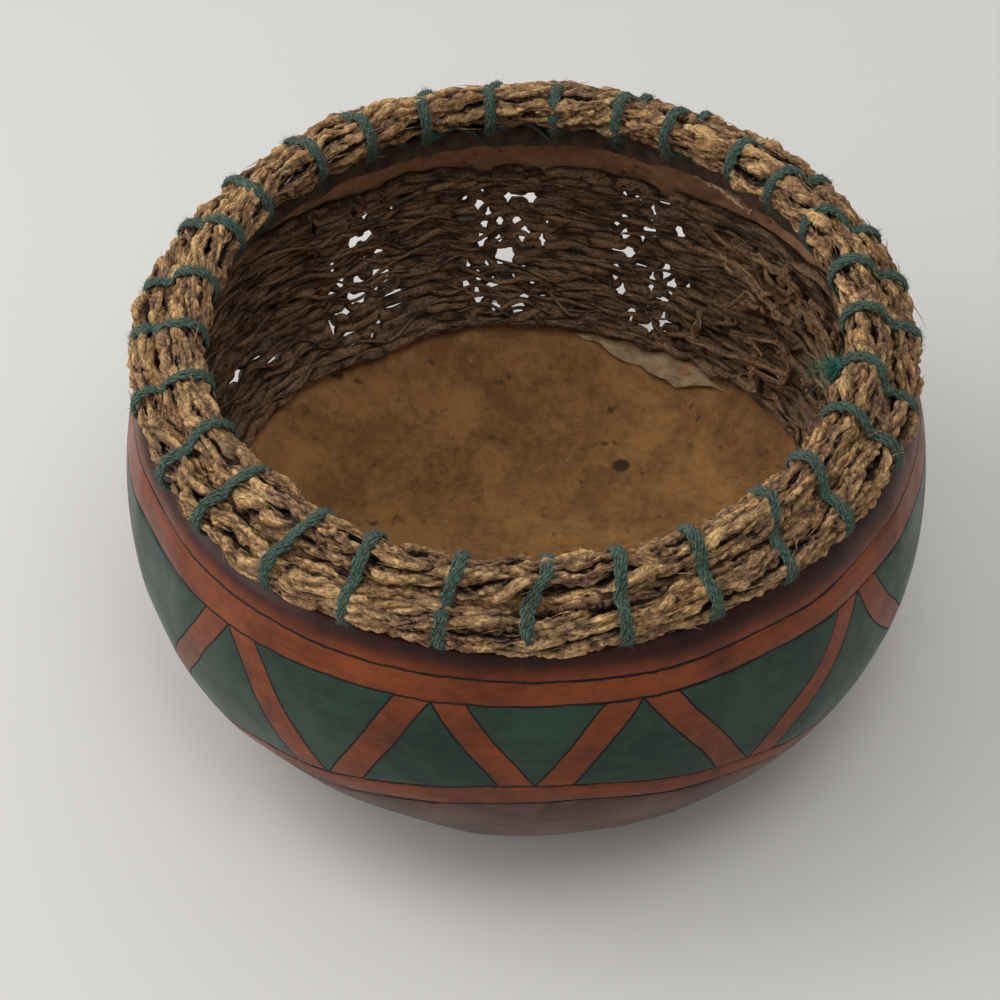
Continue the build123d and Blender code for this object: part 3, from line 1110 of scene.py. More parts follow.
@dataclass
class GourdShell:
    """The shell: one closed surface with its burned lines, lip and cut windows."""

    columns: int = 600
    foot_rows: int = 6
    groove: float = 0.0008
    groove_depth: float = 0.00035
    lumps: float = 0.0007
    first_point: float = math.radians(-89.8)
    window_ease: float = 0.0005
    low_run: float = 0.045
    row_step: float = 0.002
    snap_share: float = 0.55
    foot_fade: float = 0.03
    lip_fade: float = 0.02
    pit_depth: float = 0.0006
    burned: tuple[BurnedLine, ...] = (
        BurnedLine(0.1623, 0.0036, 35.0, -0.0023),
        BurnedLine(0.1470, 0.0095, 50.0, -0.0013),
        BurnedLine(0.0860, 0.0345, 40.0),
        BurnedLine(0.0760, 0.0355, 40.0, 0.0035),
    )

    def lines(self, azimuth: Array) -> Array:
        """Runs of the four burned lines, drawn by hand: each is a level plus a rise towards the front.

        Args:
            azimuth: angle of each column.

        Returns:
            Runs of lines 1 to 4, counted from the rim down, on the first axis.
        """
        aside = np.degrees(np.angle(np.exp(1j * (azimuth - FRONT))))
        return np.stack([line.run(aside) for line in self.burned])

    def rows(self, lines: Array) -> tuple[Array, Array]:
        """Runs of every row in every column, with a row on each line and one close on each side of it.

        Args:
            lines: runs of the four lines per column.

        Returns:
            Runs, columns on the first axis, and the depth of the groove at each row.
        """
        first, second, third, fourth = lines
        half = self.groove
        foot = np.zeros_like(first)
        low = foot + self.low_run
        spans = (
            (foot, low, 7), (low + self.row_step, fourth - half, 15), (fourth, fourth, 1),
            (fourth + half, third - half, 4), (third, third, 1),
            (third + half, second - half, 30), (second, second, 1),
            (second + half, first - half, 4), (first, first, 1), (first + half, foot + PROFILE.length, 10),
        )
        runs = [np.linspace(start, end, count, axis=1) for start, end, count in spans]
        depth = [np.full(count, self.groove_depth if count == 1 else 0.0) for _, _, count in spans]
        return np.concatenate(runs, axis=1), np.concatenate(depth)

    def window_gap(self, azimuth: Array, height: Array) -> tuple[Array, Array, Array]:
        """Distance to the nearest window's outline, below 0 inside, and the way out of it.

        Args:
            azimuth: angle of each point.
            height: height of each point.

        Returns:
            The distance, and the direction away from the window round the shell and upwards.
        """
        pitch = SIZES.window_pitch
        turn = azimuth - SIZES.window_centre
        number = np.clip(np.round(turn / pitch), -(SIZES.windows // 2), SIZES.windows // 2)
        across = (turn - number * pitch) * SIZES.body_radius
        up = height - SIZES.window_mid
        half = np.array((SIZES.window_width, SIZES.window_height)) / 2
        half = half + self.window_ease - SIZES.window_corner
        over = np.stack([np.abs(across) - half[0], np.abs(up) - half[1]])
        past = np.maximum(over, 0.0)
        reach = np.hypot(*past)
        gap = reach + np.minimum(over.max(axis=0), 0.0) - SIZES.window_corner
        flat = np.stack([over[0] >= over[1], over[1] > over[0]]).astype(float)
        way = np.where(reach > 1e-9, past / np.maximum(reach, 1e-9), flat)
        return gap, way[0] * np.sign(across), way[1] * np.sign(up)

    def build(self, materials: list[Material]) -> None:
        """Builds the shell: rows up the outline in columns round the axis, and the same rows inside.

        The two skins are joined at the lip and at the windows, where the nearest points move to the outline.

        Args:
            materials: dyed outside, pith inside and cut edge, in that order.
        """
        column = np.arange(self.columns) * TURN / self.columns - math.pi
        lines = self.lines(column)
        runs, depth = self.rows(lines)
        azimuth = np.repeat(column[:, None], runs.shape[1], axis=1)
        height = PROFILE.at(runs)[..., 1]
        gap, aside, up = self.window_gap(azimuth, height)
        snap = np.abs(gap) < self.snap_share * self.row_step
        azimuth = azimuth - np.where(snap, gap * aside / SIZES.body_radius, 0.0)
        runs = np.where(snap & (np.abs(up) > 0.05), PROFILE.run_at(height - gap * up), runs)
        gap = np.where(snap, 0.0, gap)
        rng = np.random.default_rng(11)
        lump = round_waves(azimuth, rng, 7) * np.sin(runs * 30.0) + 0.6 * round_waves(azimuth, rng, 16)
        lump = lump * np.clip(runs / self.foot_fade, 0.0, 1.0)
        lump = lump * np.clip((PROFILE.length - runs) / self.lip_fade, 0.0, 1.0)
        lump = self.lumps * lump - depth
        outer = swing(PROFILE.at(runs, -np.minimum(lump, 0.0)), azimuth)
        pits = np.sin(runs * 160.0 + 3.0 * np.sin(7.0 * azimuth))
        pits = self.pit_depth * round_waves(azimuth, rng, 40) * pits
        inner = swing(PROFILE.at(runs, SIZES.wall + np.abs(pits)), azimuth)
        share = (np.arange(self.foot_rows - 1) + 1) / self.foot_rows
        foot = np.stack([SIZES.foot_radius * share, 0 * share], axis=-1)
        foot = np.broadcast_to(foot, (self.columns, *foot.shape))
        disc = swing(foot, np.repeat(column[:, None], len(share), axis=1))
        dish = disc + np.array((0, 0, SIZES.wall))
        outer = np.concatenate([disc, outer], axis=1)
        inner = np.concatenate([dish, inner], axis=1)
        rows = outer.shape[1]
        inside = np.concatenate([np.ones((self.columns, len(share))), gap], axis=1)
        beside = np.maximum(inside, np.roll(inside, -1, axis=0))
        cut = np.maximum(beside[:, :-1], beside[:, 1:]) <= 1e-9
        faces, edge_faces = self.faces(cut, rows)
        total = self.columns * rows
        poles = np.array([[0, 0, 0], [0, 0, SIZES.wall]])
        builder = MeshBuilder()
        points = np.concatenate([outer.reshape(-1, 3), inner.reshape(-1, 3), poles])
        here = np.arange(self.columns) * rows
        after = np.roll(here, -1)
        low_fan = np.stack([np.full(self.columns, 2 * total), after, here], axis=-1)
        high_fan = np.stack([np.full(self.columns, 2 * total + 1), total + here, total + after], axis=-1)
        builder.add(points, [faces, low_fan])
        builder.faces += [(faces[:, ::-1] + total, 1), (high_fan, 1), (edge_faces, 2)]
        piece = builder.build("gourd", materials)
        kept = np.concatenate([np.zeros((self.columns, len(share))), runs], axis=1)
        self.keep(piece, "run", kept, poles)
        for number, line in enumerate(lines, 1):
            self.keep(piece, "line_%d" % number, np.repeat(line[:, None], rows, axis=1), poles)
        finish_piece(piece, ["gourd_shell"])

    def keep(self, piece: Piece, name: str, values: Array, poles: Array) -> None:
        """Keeps a value of the outer grid on the mesh's points, outside and inside alike."""
        flat = np.concatenate([values.ravel(), values.ravel(), np.zeros(len(poles))]).astype(np.float32)
        piece.data.attributes.new(name, "FLOAT", "POINT").data.foreach_set("value", flat)

    def faces(self, cut: Array, rows: int) -> tuple[Array, Array]:
        """Quads of the outer grid without the windows, and quads that join the grids at lip and windows.

        Args:
            cut: true for each cell that a window takes away, columns on the first axis.
            rows: points in a column.

        Returns:
            Quads of the outside, and quads of the edges.
        """
        total = self.columns * rows
        index = np.arange(total).reshape(self.columns, rows)
        beside = np.roll(index, -1, axis=0)
        quads = np.stack([index[:, :-1], beside[:, :-1], beside[:, 1:], index[:, 1:]], axis=-1)
        before = np.roll(cut, 1, axis=0)
        pairs = []
        pick = cut & ~before
        pairs.append(np.stack([index[:, 1:][pick], index[:, :-1][pick]], axis=-1))
        pick = before & ~cut
        pairs.append(np.stack([index[:, :-1][pick], index[:, 1:][pick]], axis=-1))
        pick = cut[:, 1:] & ~cut[:, :-1]
        pairs.append(np.stack([index[:, 1:-1][pick], beside[:, 1:-1][pick]], axis=-1))
        pick = cut[:, :-1] & ~cut[:, 1:]
        pairs.append(np.stack([beside[:, 1:-1][pick], index[:, 1:-1][pick]], axis=-1))
        pairs.append(np.stack([beside[:, -1], index[:, -1]], axis=-1))
        pair = np.concatenate(pairs)
        edge = np.stack([pair[:, 1], pair[:, 0], pair[:, 0] + total, pair[:, 1] + total], axis=-1)
        return quads[~cut], edge[:, ::-1]


@dataclass
class RimCoil:
    """One coil of the rim: a core root and six roots laid round it, with slips of root and splinters.

    Fillers are level roots at these angles round the coil that close the gaps beside it. The sizes of the
    core and of the fillers are their distance from the coil's middle and their radius.
    """

    name: str
    middle: Pair
    seed: int
    around: int = 22
    step: float = 0.00075
    root_radius: float = 0.00236
    bark_depth: float = 0.0018
    plate: Pair = (0.0032, 1.3)
    chip: Pair = (0.0011, 0.75)
    knob: Pair = (0.0024, 2.0)
    plate_share: float = 0.42
    chip_share: float = 0.38
    knob_height: float = 0.0007
    bark_level: float = 0.62
    slips: int = 4
    splinters: int = 80
    fillers: tuple[float, ...] = ()
    core_size: Pair = (0.0004, 0.0024)
    filler_size: Pair = (0.0064, 0.0027)
    grip_width: float = 0.0036
    grip_depth: float = 0.0008
    sway: Pair = (0.0006, 0.0005)
    joint_first: float = 45.0
    joint_step: float = 137.0
    joint_gap: float = 0.012
    slip_length: Pair = (0.03, 0.11)
    slip_radius: Pair = (0.0009, 0.0017)
    splinter_length: Pair = (0.004, 0.012)
    splinter_radius: Pair = (0.00014, 0.00042)

    def cinch(self, azimuth: Array) -> Array:
        """How far the yarn draws the roots in, from 0 between stitches to 1 under one."""
        aside = np.angle(np.exp(1j * (azimuth[:, None] - stitch_azimuths()[None, :])))
        return np.exp(-((np.abs(aside).min(axis=1) * self.middle[0] / self.grip_width) ** 2))

    def drift(self, azimuth: Array) -> Array:
        """Slow wander of the whole coil.

        Args:
            azimuth: angle of each point.

        Returns:
            Its size in r and z.
        """
        rng = np.random.default_rng(self.seed)
        aside = self.sway[0] * round_waves(azimuth, rng, 9)
        return np.stack([aside, self.sway[1] * round_waves(azimuth, rng, 11)], axis=-1)

    def bark(self, rng: np.random.Generator, radius: Array, sides: int) -> tuple[Array, Array]:
        """Gnarled bark: the size of a smooth random field, whose zero lines are crevices along the root.

        Args:
            rng: source of the field.
            radius: mean radius at each distance.
            sides: points round the root.

        Returns:
            Radius at each distance and side, and how proud each point stands, lowered as painted shade on the
            sides that face the neighbouring roots.
        """
        count = len(radius)
        blurs = (self.plate, self.chip, self.knob)
        plates, chips, knobs = (cloud(rng, count, sides, long / self.step, broad) for long, broad in blurs)
        proud = self.plate_share * np.abs(plates) + self.chip_share * np.abs(chips)
        proud = np.clip(proud, 0.0, 1.15)
        relief = self.bark_depth * (proud - self.bark_level) + self.knob_height * np.maximum(knobs - 1.1, 0.0)
        radii = radius[:, None] + (radius / self.root_radius)[:, None] * relief
        # Painted shade: the sides of a root that face its neighbours and the coil's middle get a lower proud
        # value, which the bark finish paints darker.
        outward = np.clip(0.22 + 0.98 * np.cos(np.arange(sides) * TURN / sides), 0.0, 1.0)
        return np.maximum(radii, 0.3 * radius[:, None]), np.clip(proud, 0.0, 1.0) * outward[None, :]

    def root(self, builder: MeshBuilder, rng: np.random.Generator, start: float, sweep: float, phase: float,
             offset: float, radius: float, sides: int, lift: float = 0.0,
             lay_turns: int = SIZES.lay_turns) -> None:
        """Adds one root that follows the coil's lay.

        Args:
            builder: mesh that takes it.
            rng: source of its unevenness.
            start: azimuth of its first end.
            sweep: angle that it covers.
            phase: place round the coil at azimuth 0.
            offset: distance from the coil's middle.
            radius: its mean radius.
            sides: points round it.
            lift: how far its ends stand off.
            lay_turns: times that it winds round the coil.
        """
        count = max(24, int(sweep * self.middle[0] / self.step))
        azimuth = start + np.linspace(0.0, sweep, count)
        along = azimuth * self.middle[0]
        from_end = from_ends(along)
        turn = phase + lay_turns * azimuth + 0.13 * waves(along, rng, 6, 5, 45)
        out = offset * (1 + 0.08 * waves(along, rng, 6, 10, 55)) + lift * np.exp(-from_end / 0.005)
        out = out - self.grip_depth * self.cinch(azimuth) * (offset > 0.001)
        lay = direction(turn)
        spots = np.asarray(self.middle) + self.drift(azimuth) + out[:, None] * lay
        taper = 0.35 + 0.65 * np.clip(from_end / 0.006, 0.0, 1.0) ** 0.5
        mean = radius * (1 + 0.14 * waves(along, rng, 6, 9, 60)) * taper
        radii, proud = self.bark(rng, mean, sides)
        tube(builder, swing(spots, azimuth), swing(lay, azimuth), radii, 0, proud)

    def splinter(self, builder: MeshBuilder, rng: np.random.Generator, phase: float) -> None:
        """Adds fibres that stand off one root.

        Args:
            builder: mesh that takes them.
            rng: source of their lay.
            phase: place of the root round the coil at azimuth 0.
        """
        azimuth = rng.uniform(0, TURN, self.splinters)
        turn = phase + SIZES.lay_turns * azimuth + rng.normal(0, 0.35, self.splinters)
        lay = direction(turn)
        root = swing(np.asarray(self.middle) + (SIZES.lay_offset + self.root_radius * 0.8) * lay, azimuth)
        out = swing(lay, azimuth)
        along = np.stack([-np.sin(azimuth), np.cos(azimuth), 0 * azimuth], axis=-1)
        side = rng.choice([-1.0, 1.0], self.splinters)[:, None]
        aim = unit(along * side + 0.2 * out + 0.16 * rng.normal(0, 1, (self.splinters, 3)))
        bend = -24.0 * out + 16.0 * rng.normal(0, 1, (self.splinters, 3))
        length = rng.uniform(*self.splinter_length, self.splinters)
        hairs(builder, root, aim, bend, length, rng.uniform(*self.splinter_radius, self.splinters), 0.95)

    def build(self, material: Material) -> None:
        """Builds the core and the six roots, each with its slips and splinters.

        Args:
            material: bark of the roots.
        """
        rng = np.random.default_rng(self.seed + 1)
        core = MeshBuilder()
        self.root(core, rng, math.radians(20), TURN - 0.01, 0.0, *self.core_size, 10)
        for angle in self.fillers:
            self.root(core, rng, math.radians(70), TURN - 0.01, angle, *self.filler_size, 10, 0.0, 0)
        piece = core.build(self.name + "_core_root", [material])
        finish_piece(piece, [self.name + "_coil_core"])
        for number in range(6):
            rng = np.random.default_rng(self.seed + 20 + number)
            builder = MeshBuilder()
            phase = number * TURN / 6
            start = math.radians(self.joint_first + number * self.joint_step)
            sweep = TURN - self.joint_gap
            self.root(builder, rng, start, sweep, phase, SIZES.lay_offset, self.root_radius, self.around)
            for _ in range(self.slips):
                begin = rng.uniform(0, TURN)
                sweep = rng.uniform(*self.slip_length) / self.middle[0]
                thin = rng.uniform(*self.slip_radius)
                place = phase + rng.uniform(0.2, 0.85)
                stand_off = rng.uniform(0.0, 0.0016)
                self.root(builder, rng, begin, sweep, place, SIZES.lay_offset + 0.0007, thin, 12, stand_off)
            self.splinter(builder, rng, phase)
            piece = builder.build("%s_root_%d" % (self.name, number + 1), [material])
            finish_piece(piece, ["%s_coil_strand_%d" % (self.name, number + 1)])


@dataclass
class StitchYarn:
    """Green yarn, felted to a flat band of five threads, whipped over both coils and through the shell."""

    yarn_radius: float = 0.00064
    apart: float = 0.00070
    sides: int = 6
    ply_length: float = 0.0030
    fuzz: int = 3900
    tail_stitch: int = 6
    loops: tuple[int, int] = (15, 14)
    threads: tuple[float, ...] = (-2.0, -1.0, 0.0, 1.0, 2.0)
    slant: float = -0.016
    slant_sway: float = 0.014
    hole_pull: float = 0.014
    pass_slope: Pair = (-0.003, 0.003)
    pass_turn: float = 1.4
    rise_pull: float = 0.008
    way_points: int = 9
    tail_point: int = 9
    tail_drop: float = 0.014
    tuft: int = 170
    tuft_length: Pair = (0.002, 0.0062)
    tuft_radius: float = 0.00025
    fuzz_length: Pair = (0.0009, 0.0024)
    fuzz_radius: float = 0.0001
    band_middle: Pair = (0.1195, 0.1400)
    lean_from: float = 0.1198
    lean_reach: float = 0.0035

    def route(self) -> tuple[Array, Array]:
        """One stitch and its way to the next: up the inside, over both coils, through the hole and on.

        The part over the coils lies in one upright plane. The way on is two cubics in r, z and azimuth that
        run between the lip and the inner coil.

        Returns:
            r, z spots and the azimuth of each beyond the stitch's own.
        """
        wrap, arc = SIZES.wrap_radius, SIZES.groove_arc
        groove = circle_meet(SIZES.outer_coil, wrap + arc, SIZES.inner_coil, wrap + arc)
        to_inner, to_outer = heading(SIZES.inner_coil, groove), heading(SIZES.outer_coil, groove)
        rise_top = on_circle(SIZES.inner_coil, wrap, SIZES.rise_angle)
        rise = np.array((math.sin(SIZES.rise_angle), -math.cos(SIZES.rise_angle)))
        low = rise_top - rise * SIZES.rise_run
        hole_top = on_circle(SIZES.outer_coil, wrap, SIZES.hole_angle)
        hole = np.array((math.sin(SIZES.hole_angle), -math.cos(SIZES.hole_angle)))
        end = hole_top + hole * SIZES.hole_run
        over = [
            np.linspace(low, rise_top, 5, endpoint=False),
            on_circle(SIZES.inner_coil, wrap, np.linspace(SIZES.rise_angle, to_inner, 28, endpoint=False)),
            on_circle(groove, arc, np.linspace(to_inner + math.pi, to_outer + math.pi, 7, endpoint=False)),
            on_circle(SIZES.outer_coil, wrap, np.linspace(to_outer, SIZES.hole_angle, 24, endpoint=False)),
            np.linspace(hole_top, end, 5, endpoint=False),
        ]
        spots = np.concatenate(over)
        shares = cubic_shares(np.linspace(0.0, 1.0, self.way_points, endpoint=False)[:, None])
        half = SIZES.pitch / 2
        knots = (
            (np.array((*end, 0.0)), np.array((*(hole * self.hole_pull), 0.0))),
            (np.array((*SIZES.yarn_pass, half)), np.array((*self.pass_slope, half * self.pass_turn))),
            (np.array((*low, 2 * half)), np.array((*(rise * self.rise_pull), 0.0))),
        )
        legs = [
            shares[0] * first[0] + shares[1] * first[1] + shares[2] * last[0] + shares[3] * last[1]
            for first, last in zip(knots[:-1], knots[1:])
        ]
        way = np.concatenate(legs)
        return np.concatenate([spots, way[:, :2]]), np.concatenate([np.zeros(len(spots)), way[:, 2]])

    def strand(self, builder: MeshBuilder, path: Array, out: Array, side: float, phase: float) -> None:
        """Adds one of the threads: a two-ply section, two lobes that turn once in each ply length.

        Args:
            builder: mesh that takes it.
            path: middle of the band of yarn.
            out: direction away from the coils at each point.
            side: which side of the path it lies on.
            phase: turn of its plies at the start.
        """
        tangent = unit(np.gradient(path, axis=0))
        across = unit(np.cross(tangent, out))
        along = distance_along(path)
        rng = np.random.default_rng(int(100 + 10 * phase + 3 * side))
        aside = side * self.apart * (1 + 0.1 * waves(along, np.random.default_rng(77), 6, 15, 60))
        aside = aside + 0.0002 * waves(along, rng, 9, 60, 300)
        middle = path + across * aside[:, None]
        middle = middle + out * (0.00013 * waves(along, rng, 9, 60, 300) - 0.0001 * side**2)[:, None]
        angle = np.arange(self.sides) * TURN / self.sides
        turn = TURN * along / self.ply_length + phase
        lobe = np.cos(2 * (angle[None, :] - 0.5 * turn[:, None]))
        radii = self.yarn_radius * (1 + 0.07 * waves(along, rng, 6, 60, 300))[:, None] * (1 + 0.12 * lobe)
        # Painted shade between the plies: the ridge value follows the lobes.
        tube(builder, middle, out, radii, 0, 0.5 + 0.5 * lobe)

    def build(self, materials: list[Material]) -> None:
        """Builds both lengths of yarn with their fuzz, and the frayed tail of the first.

        Args:
            materials: worn yarn, then the fresh yarn of the tail's tuft.
        """
        spots, beyond = self.route()
        places = stitch_azimuths()
        places = np.concatenate([places, places + TURN])
        slants = self.slant + self.slant_sway * np.sin(1.9 * np.arange(len(places)))
        share = beyond[None, :] / SIZES.pitch
        first = self.tail_stitch
        for number, loops in enumerate(self.loops, 1):
            pick = first + np.arange(loops)
            first += loops
            step = (places[pick + 1] - places[pick])[:, None]
            turn = (slants[pick + 1] - slants[pick])[:, None]
            side = np.tanh((spots[:, 0] - self.lean_from) / self.lean_reach)
            lean = (slants[pick][:, None] + turn * share) * side
            azimuth = (places[pick][:, None] + step * share + lean).ravel()
            flat = np.tile(spots, (loops, 1))
            keep = len(flat) - self.way_points
            rng = np.random.default_rng(400 + number)
            path = swing(flat, azimuth)[:keep]
            out = unit(swing(flat - np.array(self.band_middle), azimuth)[:keep])
            builder = MeshBuilder()
            for thread in self.threads:
                self.strand(builder, path, out, thread, 0.4 + number + 1.7 * thread)
            self.add_fuzz(builder, rng, path, out)
            if number == 1:
                self.add_tail(builder, rng, path[0], path[self.tail_point], azimuth[0])
            piece = builder.build("stitch_yarn_%d" % number, materials)
            finish_piece(piece, ["stitch_thread_%d" % number])

    def add_fuzz(self, builder: MeshBuilder, rng: np.random.Generator, path: Array, out: Array) -> None:
        """Adds loose fibres that stand off the yarn.

        Args:
            builder: mesh that takes them.
            rng: source of their lay.
            path: middle of the band of yarn.
            out: direction away from the coils at each point.
        """
        pick = rng.integers(2, len(path) - 2, self.fuzz)
        tangent = unit(path[pick + 1] - path[pick - 1])
        across = np.cross(tangent, out[pick])
        around = rng.uniform(-1.9, 1.9, self.fuzz)[:, None]
        away = np.cos(around) * out[pick] + np.sin(around) * across
        reach = 2.3 * self.apart * np.sin(around) * across + self.yarn_radius * away
        sign = rng.choice([-1.0, 1.0], self.fuzz)[:, None]
        lift = away * rng.uniform(0.3, 1.0, (self.fuzz, 1))
        aim = unit(lift + tangent * sign * rng.uniform(0.3, 1.2, (self.fuzz, 1)))
        bend = 160.0 * rng.normal(0, 1, (self.fuzz, 3))
        length = rng.uniform(*self.fuzz_length, self.fuzz)
        thick = np.full(self.fuzz, self.fuzz_radius)
        hairs(builder, path[pick] + reach * 0.85, aim, bend, length, thick, 1.0)

    def add_tail(self, builder: MeshBuilder, rng: np.random.Generator, start: Array, knot: Array,
                 azimuth: float) -> None:
        """Adds the loose tail: a short run down from the first stitch, and the tuft into which its end frays.

        Args:
            builder: mesh that takes it.
            rng: source of the fibres' lay.
            start: lower end of the first stitch.
            knot: place on the stitch at which the tuft stands off.
            azimuth: angle of the stitch round the axis.
        """
        drop = np.linspace(0.0, 1.0, 20)[:, None]
        side = np.array((-math.sin(azimuth), math.cos(azimuth), 0.0))
        outward = np.array((math.cos(azimuth), math.sin(azimuth), 0.0))
        down = np.array((0, 0, -self.tail_drop))
        path = start + drop * down - side * (0.003 * drop**2) + outward * (0.002 * drop)
        out = np.repeat(-outward[None], len(path), axis=0)
        for offset, phase in ((-1.2, 0.0), (0.0, 0.8), (1.2, 1.5)):
            self.strand(builder, path[::-1], out, offset, phase)
        count = self.tuft
        root = knot + rng.normal(0, 0.0009, (count, 3))
        aim = unit(-outward + np.array((0, 0, -0.3)) + 0.65 * rng.normal(0, 1, (count, 3)))
        bend = 190.0 * rng.normal(0, 1, (count, 3)) - 20.0 * outward
        length = rng.uniform(*self.tuft_length, count)
        hairs(builder, root, aim, bend, length, np.full(count, self.tuft_radius), 0.7, 1)


@dataclass
class RootLining:
    """Dark roots laid side by side round the back of the inner wall, with small gaps that let light in."""

    start: float = math.radians(-4.0)
    end: float = math.radians(178.0)
    ragged: float = math.radians(7.0)
    radius: float = 0.00236
    wall_radius: float = 0.131
    rings: int = 640
    sides: int = 12
    crossers: int = 4
    tilt: float = 1.8
    clusters: tuple[float, ...] = (66.0, 92.4, 120.0)
    cluster_half: float = 7.5
    cluster_columns: int = 4
    cluster_courses: tuple[int, int] = (1, 17)
    cluster_share: float = 0.55
    selvage: Pair = (0.55, 0.95)
    selvage_from: float = math.radians(22.0)
    singles: tuple[Pair, ...] = ((142.3, 9.8), (147.7, 4.2), (38.6, 12.0))
    single_share: float = 0.7
    gap_high: Pair = (0.34, 0.66)
    gap_long: Pair = (0.0013, 0.0029)
    gap_limit: float = 0.62
    cross_top: float = 16.4
    cross_inset: float = 0.0054
    cross_radius: Pair = (0.0006, 0.0013)

    def gaps(self) -> tuple[Array, Array, Array, Array]:
        """Gaps between courses: clusters in front of three cut windows, and a few singles.

        Returns:
            Azimuth, course below, half height in courses and half length of each gap.
        """
        rng = np.random.default_rng(640)
        middles, courses, columns = np.meshgrid(
            self.clusters, np.arange(*self.cluster_courses), np.arange(self.cluster_columns), indexing="ij"
        )
        aside = (columns + 0.5 * (courses % 2) + 0.25) / self.cluster_columns * 2 - 1
        spread = 0.12 * rng.normal(0, 1, aside.shape)
        kept = rng.uniform(0, 1, aside.shape) < self.cluster_share
        azimuth = (middles + self.cluster_half * (aside + spread))[kept]
        course = courses[kept].astype(int)
        single = np.array(self.singles)
        azimuth = np.radians(np.concatenate([azimuth, single[:, 0]]))
        course = np.concatenate([course, single[:, 1].astype(int)])
        high = rng.uniform(*self.gap_high, len(azimuth))
        high[-len(single):] *= self.single_share
        return azimuth, course, high, rng.uniform(*self.gap_long, len(azimuth))

    def path(self, number: Array, inset: Array, azimuth: Array) -> tuple[Array, Array]:
        """Path on the inner wall, with courses that rise to the left.

        Args:
            number: course number at each point.
            inset: distance inwards from the inner wall.
            azimuth: angle of each point.

        Returns:
            The path, and the direction into the bowl along it.
        """
        sag = self.tilt * np.maximum(np.sin(azimuth - math.pi / 2), -0.1) * np.clip(number / 6.0, 0.4, 1.0)
        sag = sag + 0.2 * waves(azimuth, np.random.default_rng(590), 6, 0.5, 2.2)
        spot, out = PROFILE.course(np.maximum(number + sag, -0.8), inset)
        return swing(spot, azimuth), -swing(out, azimuth)

    def build(self, material: Material) -> None:
        """Builds each course: a wavy root that parts from the next at the gaps, and roots across it.

        Args:
            material: bark of the roots.
        """
        gap_azimuth, gap_course, gap_high, gap_long = self.gaps()
        for course in range(SIZES.lining_courses):
            rng = np.random.default_rng(600 + course)
            builder = MeshBuilder()
            begin = self.start + self.ragged * math.sin(2.4 * course + 0.6)
            end = self.end + self.ragged * math.sin(1.7 * course + 2.0)
            azimuth = np.linspace(begin, end, self.rings)
            along = azimuth * self.wall_radius
            aside = (azimuth[:, None] - gap_azimuth[None, :]) * self.wall_radius
            push = gap_high * np.exp(-((aside / gap_long) ** 4))
            down = np.minimum(push[:, gap_course == course].sum(axis=1), self.gap_limit)
            up = np.minimum(push[:, gap_course == course - 1].sum(axis=1), self.gap_limit)
            number = course + 0.1 * waves(along, rng, 7, 10, 70) - down + up
            thin = 1 - 0.9 * np.maximum(down, up)
            mean = self.radius * (1.0 + 0.07 * waves(along, rng, 7, 10, 70)) * thin
            mean = mean * (0.3 + 0.7 * np.clip(from_ends(along) / 0.012, 0.0, 1.0))
            inset = SIZES.lining_gap + self.radius * 1.05 + 0.0005 * (1 + waves(along, rng, 5, 8, 40))
            self.lay(builder, rng, number, inset, azimuth, mean, self.sides)
            if course == SIZES.lining_courses - 1:
                kept = azimuth > self.selvage_from
                past = azimuth - self.selvage_from
                edge = mean * np.clip(past / 0.06, 0.2, 1.0)
                above = number + np.interp(past, (0.3, 0.6), self.selvage)
                self.lay(builder, rng, above[kept], inset[kept], azimuth[kept], edge[kept], self.sides)
            for _ in range(self.crossers):
                self.cross(builder, rng, course)
            piece = builder.build("lining_%02d" % (course + 1), [material])
            finish_piece(piece, ["lining_root_%02d" % (course + 1)])

    def lay(self, builder: MeshBuilder, rng: np.random.Generator, number: Array, inset: Array, azimuth: Array,
            mean: Array, sides: int) -> None:
        """Adds one root on the wall, its bark raised by the size of a smooth random field, with painted shade
        on its sides.

        Args:
            builder: mesh that takes it.
            rng: source of the bark.
            number: course number at each point.
            inset: distance inwards from the inner wall.
            azimuth: angle of each point.
            mean: mean radius at each point.
            sides: points round the root.
        """
        path, inward = self.path(number, inset, azimuth)
        step = (azimuth[-1] - azimuth[0]) * self.wall_radius / len(azimuth)
        plates = np.abs(cloud(rng, len(azimuth), sides, 0.004 / step, 1.0))
        proud = np.clip(0.6 * plates, 0.0, 1.1)
        # Painted shade: the sides of a root that face the wall and the next courses get a lower proud value,
        # which the bark finish paints darker.
        outward = np.clip(0.4 + 0.8 * np.cos(np.arange(sides) * TURN / sides), 0.08, 1.0)
        tube(builder, path, inward, mean[:, None] * (0.86 + 0.3 * proud), 0, np.clip(proud, 0, 1) * outward)

    def cross(self, builder: MeshBuilder, rng: np.random.Generator, course: int) -> None:
        """Adds one thin root that slants over the courses in front.

        Args:
            builder: mesh that takes it.
            rng: source of its place and bark.
            course: course that it crosses.
        """
        begin = rng.uniform(self.start + 0.1, self.end - 0.8)
        azimuth = np.linspace(begin, begin + rng.uniform(0.25, 0.8), 150)
        along = azimuth * self.wall_radius
        slant = rng.uniform(-4.0, 4.0) * (azimuth - azimuth.mean())
        number = np.clip(course + slant + 0.5 * waves(along, rng, 5, 8, 40), 0.0, self.cross_top)
        inset = self.cross_inset + 0.0009 * (1 + waves(along, rng, 4, 8, 30))
        mean = rng.uniform(*self.cross_radius) * (1 + 0.2 * waves(along, rng, 5, 12, 60))
        mean = mean * (0.3 + 0.7 * np.clip(from_ends(along) / 0.02, 0, 1))
        self.lay(builder, rng, number, inset, azimuth, mean, 7)


